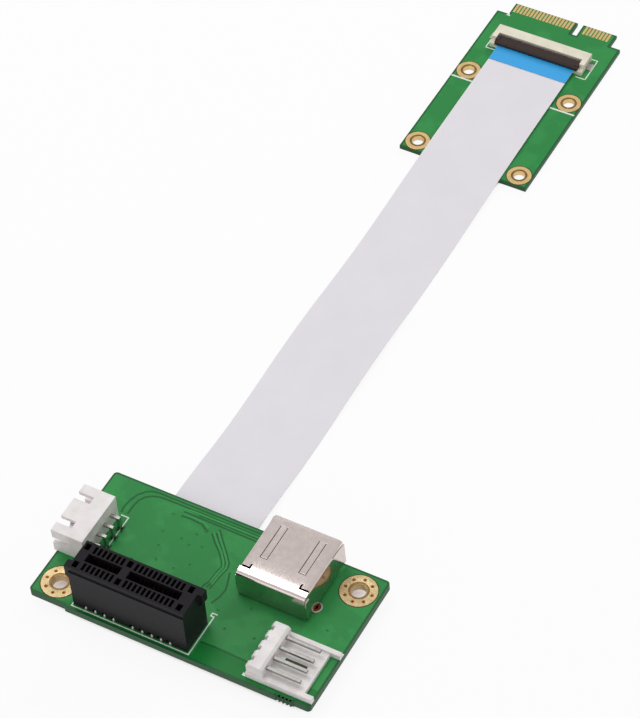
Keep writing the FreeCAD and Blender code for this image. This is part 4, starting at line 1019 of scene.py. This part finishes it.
    def cover(self, bm):
        """The rear plate: it leaves the roof in a soft slope and folds down behind."""
        top, rear = self.roof, self.rear
        profile = (
            (rear + self.join, top - self.bow_drop), (rear + 2.4, top - 0.075),
            (rear + 1.75, top - 0.125), (rear + 1.4, top - 0.17), (rear + 0.9, top - 0.27),
            (rear + 0.55, top - 0.36), (rear + 0.3, top - 0.47), (rear + 0.12, top - 0.61),
            (rear + 0.03, top - 0.79),
            (rear, top - 1.0), (rear, top - 3.0), (rear, self.floor + 2.0),
            (rear, self.floor + 0.35),
        )
        across = [x for x in self.across_stops()[::-1] if abs(x) <= self.half - self.fold]
        across = [self.half - 0.03, *across, 0.03 - self.half]
        rows = [
            [bm.verts.new(((self.middle + x) * MM, y * MM, z * MM)) for x in across]
            for y, z in profile
        ]
        skin(bm, rows, around=False, left_out=lambda index, step, after: (
            index < 2 and abs(across[step] + across[after]) / 2 > self.join_half))

    def ears_and_legs(self, bm, foot):
        """Ears of the cover folded round the walls, and the two legs through the board."""
        leg = self.rear + self.leg_back
        for side in (-1, 1):
            face = self.middle + side * self.half
            for inner, outer, start, end, bottom, top, soft, steps in (
                (-0.02, self.ear_thick, self.rear + 0.02, self.rear + self.ear_long,
                 *self.ears, 0.09, 3),
                (-self.sheet, 0, leg - self.leg_half, leg + self.leg_half,
                 foot, self.floor + self.fold, 0.05, 2),
            ):
                near, far = sorted((face + side * inner, face + side * outer))
                block(bm, Vector((near, start, bottom)) * MM, Vector((far, end, top)) * MM,
                      soft * MM, steps)


class RISER_OT_headers(Step, bpy.types.Operator):
    """The power header and the side header, with their pins, and painted shade in the power
    header's latch window
    """

    bl_idname = "riser.headers"
    bl_label = "Wire headers"

    window_from_end = 5.1 * MM
    window_long = 4.6 * MM
    window_wide = 1.2 * MM
    window_high = 0.86 * MM

    def build(self, scene):
        plastics = scene.riser_plastics
        metals = scene.riser_metals
        dress(moulded_finish("header_nylon", plastics.header, 0.4, 0.14,
                             Subsurface_Weight=0.12, Subsurface_Scale=0.0006),
              "power_housing", "header_housing")
        # Painted shade: the power pins take a darker copy of the tin, to hold down the key light's
        # glare on them.
        dress(plated_finish("power_pin_tin_shaded_copy", darker(metals.tin, 0.74), darker(metals.tin, 0.6), 0.4,
                            rounded_mm=0.12), "power_pins")
        dress(plated_finish("header_pin_tin", metals.tin, darker(metals.tin, 0.7), 0.24,
                            rounded_mm=0.06), "header_pins")
        # Painted shade: a dark olive block fills the latch window to stand in for the shade inside
        # it.
        shade = moulded_finish("latch_window_painted_shade", plastics.window, 0.6)
        bm = bmesh.new()
        low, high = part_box("power_housing")
        start, middle = low.x + self.window_from_end, (low.y + high.y) / 2
        block(bm, (start, middle - self.window_wide / 2, BASE_HIGH.z),
              (start + self.window_long, middle + self.window_wide / 2,
               BASE_HIGH.z + self.window_high), 0.02 * MM, 1)
        piece("power_latch_window_shade_block", bm, [shade])


class RISER_OT_sockets(Step, bpy.types.Operator):
    """The two flat-ribbon sockets with their flip locks"""

    bl_idname = "riser.sockets"
    bl_label = "Ribbon sockets"

    def build(self, scene):
        plastics = scene.riser_plastics
        metals = scene.riser_metals
        dress(moulded_finish("socket_polymer", plastics.socket, 0.45, 0.06),
              "base_socket_housing", "mini_socket_housing")
        # The locks' sharp edges take a painted highlight.
        dress(moulded_finish("lock_polymer", plastics.lock, 0.32, 0.06, edge_highlight=0.35,
                             Specular_IOR_Level=0.3),
              "base_socket_lock", "mini_socket_lock")
        dress(plated_finish("lead_tin", metals.tin, darker(metals.tin, 0.78), 0.3),
              "base_socket_contacts", "mini_socket_contacts",
              "base_socket_hold_downs", "mini_socket_hold_downs")


class RISER_OT_ribbon(Step, bpy.types.Operator):
    """The flat ribbon on its smooth line, and the stiff tape at each end"""

    bl_idname = "riser.ribbon"
    bl_label = "Ribbon"

    length = 156.82 * MM
    route = (
        (-72.675, 1.445), (-56.575, 1.445), (-39.575, -0.135), (-12.575, 1.575),
        (13.425, -0.175), (41.925, 1.3), (67.925, 1.605), (84.025, 1.605),
    )

    def build(self, scene):
        ribbon = scene.riser_ribbon
        middle = (RIBBON_LOW.x + RIBBON_HIGH.x) / 2
        wide = RIBBON_HIGH.x - RIBBON_LOW.x
        line = self.smooth_line([(middle, y * MM, z * MM) for y, z in self.route])
        film = film_finish("ribbon_film", ribbon.film, ribbon, 0.05)
        tape = film_finish("stiffener_tape", ribbon.stiffener, ribbon, 0.0)
        bm = bmesh.new()
        self.lay(bm, line, self.conductor_section(wide, ribbon))
        band_piece = piece("ribbon", bm, [film], sharp=60)
        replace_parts(band_piece, "ribbon_cable")
        tapes = []
        for node, side in (("ribbon_stiffener_base", -1), ("ribbon_stiffener_mini", 1)):
            low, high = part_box(node)
            thick = high.z - low.z
            under = side * (ribbon.thickness + thick) / 2
            bm = bmesh.new()
            self.lay(bm, self.part_of(line, low.y, high.y),
                     self.plain_section(high.x - low.x, under - thick / 2, under + thick / 2))
            tapes.append(piece(node + "_tape", bm, [tape]))
            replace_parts(tapes[-1], node)

    @staticmethod
    def smooth_line(points):
        """The points that Blender gives along one smooth spline through the route."""
        curve = bpy.data.curves.new("ribbon_line", "CURVE")
        curve.dimensions = "3D"
        curve.resolution_u = 16
        spline = curve.splines.new("NURBS")
        spline.points.add(len(points) - 1)
        for control, spot in zip(spline.points, points):
            control.co = (*spot, 1)
        spline.order_u = 3
        spline.use_endpoint_u = True
        carrier = bpy.data.objects.new("ribbon_line", curve)
        mesh = bpy.data.meshes.new_from_object(carrier)
        line = [vert.co.copy() for vert in mesh.vertices]
        bpy.data.objects.remove(carrier)
        bpy.data.meshes.remove(mesh)
        bpy.data.curves.remove(curve)
        return line

    @staticmethod
    def part_of(line, start, end):
        """The stretch of a line between two distances along the card."""
        inside = [spot for spot in line if start < spot.y < end]
        ends = []
        for at in (start, end):
            before = max((s for s in line if s.y <= at), key=lambda s: s.y, default=line[0])
            after = min((s for s in line if s.y >= at), key=lambda s: s.y, default=line[-1])
            share = (at - before.y) / (after.y - before.y) if after.y > before.y else 0
            ends.append(before.lerp(after, share))
        return [ends[0], *inside, ends[1]]

    @staticmethod
    def conductor_section(wide, ribbon):
        """Across the ribbon: film that swells a little over each flat conductor."""
        half = ribbon.thickness / 2
        count = int((wide - ribbon.pitch) / ribbon.pitch)
        start = -count * ribbon.pitch / 2
        upper = [(-wide / 2, half)]
        for step in range(count):
            for share, swell in ((0.12, 0.0), (0.3, 1.0), (0.7, 1.0), (0.88, 0.0)):
                upper.append((start + (step + share) * ribbon.pitch, half + swell * ribbon.swell))
        upper.append((wide / 2, half))
        return upper, [(across, -up) for across, up in upper]

    @staticmethod
    def plain_section(wide, low, high):
        """Across a tape: flat, with its two long edges slightly rounded."""
        soft = 0.03 * MM
        across = (-wide / 2, -wide / 2 + 0.04 * MM, wide / 2 - 0.04 * MM, wide / 2)
        return [
            [(x, level + cut) for x, cut in zip(across, (eased, 0, 0, eased))]
            for level, eased in ((high, -soft), (low, soft))
        ]

    @staticmethod
    def lay(bm, line, section):
        """Lays a flat section along a line that runs from the front to the back."""
        rows = []
        for index, spot in enumerate(line):
            along = line[min(index + 1, len(line) - 1)] - line[max(index - 1, 0)]
            up = Vector((0, -along.z, along.y)).normalized()
            rows.append([
                [bm.verts.new(spot + Vector((x, 0, 0)) + up * lift) for x, lift in side]
                for side in section
            ])
        last = len(section[0]) - 1
        for (top, bottom), (top_next, bottom_next) in zip(rows, rows[1:]):
            for step in range(last):
                bm.faces.new((top[step], top[step + 1], top_next[step + 1], top_next[step]))
                bm.faces.new((bottom[step], bottom_next[step], bottom_next[step + 1],
                              bottom[step + 1]))
            for side in (0, last):
                bm.faces.new((top[side], top_next[side], bottom_next[side], bottom[side]))
        for top, bottom in (rows[0], rows[-1]):
            for step in range(last):
                bm.faces.new((top[step], bottom[step], bottom[step + 1], top[step + 1]))


class RISER_OT_studio(Step, bpy.types.Operator):
    """Pale floor, soft lights and the camera"""

    bl_idname = "riser.studio"
    bl_label = "Studio"

    look_at = Vector((-9.78, -16.425, 0)) * MM
    shade_reach = 12 * MM

    def build(self, scene):
        studio = scene.riser_studio
        scene.view_settings.view_transform = "Standard"
        self.floor(studio)
        self.surround(scene, studio)
        for name, watts, wide, spot, mirrored in (
            ("key_light", studio.key, 0.32, (-0.36, 0.13, 0.86), True),
            ("back_light", studio.back, 0.3, (0.05, 1.25, 0.75), False),
            ("fill_light", studio.fill, 0.6, (-0.45, -0.65, 0.4), True),
        ):
            self.lamp(name, watts, wide, Vector(spot)).visible_glossy = mirrored
        self.camera(scene, studio)

    def floor(self, studio):
        """A white floor with a faint shadow of the object, and shade where it is closed in."""
        bm = bmesh.new()
        bmesh.ops.create_grid(bm, x_segments=8, y_segments=8, size=3)
        bmesh.ops.translate(bm, verts=bm.verts, vec=(0, 0, -0.02 * MM))
        mesh = mesh_of("floor", bm)
        finish = Finish("floor_white", Base_Color=(0.9, 0.9, 0.9, 1), Roughness=0.9,
                        Specular_IOR_Level=0.1)
        finish.relief(finish.noise(0.2, 2), 0.002)
        openness = finish.node(
            "ShaderNodeAmbientOcclusion", {"Distance": self.shade_reach}, samples=16
        ).outputs["AO"]
        closed = finish.between(openness, 1.0, 0.0, 0.2, 0.3)
        glow = finish.node(
            "ShaderNodeEmission", {"Color": finish.mix(closed, (1, 1, 1), studio.enclosed)}
        )
        share = finish.between(finish.seen(), 0, 0.9, 0, 1)
        blend = finish.node(
            "ShaderNodeMixShader",
            {0: share, 1: finish.surface.outputs[0], 2: glow.outputs[0]},
        )
        finish.join(blend.outputs[0], finish.out)
        mesh.materials.append(finish.material)
        put("floor", mesh)

    @staticmethod
    def surround(scene, studio):
        """White where it is seen, and dimmer as a light."""
        scene.world = bpy.data.worlds.new("surround")
        scene.world.use_nodes = True
        nodes = Nodes(scene.world.node_tree)
        level = nodes.between(nodes.seen(), studio.surround, 1.0, 0, 1)
        back = nodes.node("ShaderNodeBackground", {"Strength": level})
        nodes.join(back.outputs[0], nodes.node("ShaderNodeOutputWorld").inputs[0])

    def lamp(self, name, watts, wide, spot):
        light = bpy.data.lights.new(name, "AREA")
        light.energy = watts
        light.size = wide
        made = put(name, light)
        made.location = spot
        made.rotation_euler = (self.look_at - spot).to_track_quat("-Z", "Y").to_euler()
        made.visible_camera = False
        return made

    def camera(self, scene, studio):
        """Placed by bearing, height and roll about the point that it looks at."""
        optics = bpy.data.cameras.new("camera")
        optics.lens = studio.lens
        optics.sensor_width = 36
        optics.clip_start = 0.01
        made = put("camera", optics)
        made.matrix_world = (
            Matrix.Translation(self.look_at)
            @ Matrix.Rotation(-studio.azimuth, 4, "Z")
            @ Matrix.Rotation(math.radians(90) - studio.elevation, 4, "X")
            @ Matrix.Rotation(studio.roll, 4, "Z")
            @ Matrix.Translation((0, 0, studio.distance))
        )
        scene.camera = made


STEPS = (
    RISER_OT_studio, RISER_OT_ribbon, RISER_OT_boards, RISER_OT_eyelets, RISER_OT_solder,
    RISER_OT_slot, RISER_OT_usb, RISER_OT_headers, RISER_OT_sockets,
)


class RISER_PT_panel(bpy.types.Panel):
    """The pieces of the riser card and the sizes and colours that they take"""

    bl_label = "Riser card"
    bl_idname = "RISER_PT_panel"
    bl_space_type = "VIEW_3D"
    bl_region_type = "UI"
    bl_category = "Riser card"

    def draw(self, context):
        for step in STEPS:
            self.layout.operator(step.bl_idname, text=step.bl_label)
        for name, group in GROUPS.items():
            box = self.layout.box()
            for prop in group.__annotations__:
                box.prop(getattr(context.scene, name), prop)


GROUPS = {
    "riser_boards": RiserBoards,
    "riser_metals": RiserMetals,
    "riser_plastics": RiserPlastics,
    "riser_ribbon": RiserRibbon,
    "riser_studio": RiserStudio,
}


def register():
    for group in GROUPS.values():
        bpy.utils.register_class(group)
    for name, group in GROUPS.items():
        setattr(bpy.types.Scene, name, PointerProperty(type=group))
    for step in STEPS:
        bpy.utils.register_class(step)
    bpy.utils.register_class(RISER_PT_panel)


def unregister():
    bpy.utils.unregister_class(RISER_PT_panel)
    for step in reversed(STEPS):
        bpy.utils.unregister_class(step)
    for name, group in reversed(GROUPS.items()):
        delattr(bpy.types.Scene, name)
        bpy.utils.unregister_class(group)


def main():
    register()
    for step in STEPS:
        group, name = step.bl_idname.split(".")
        getattr(getattr(bpy.ops, group), name)()


if __name__ == "__main__":
    main()
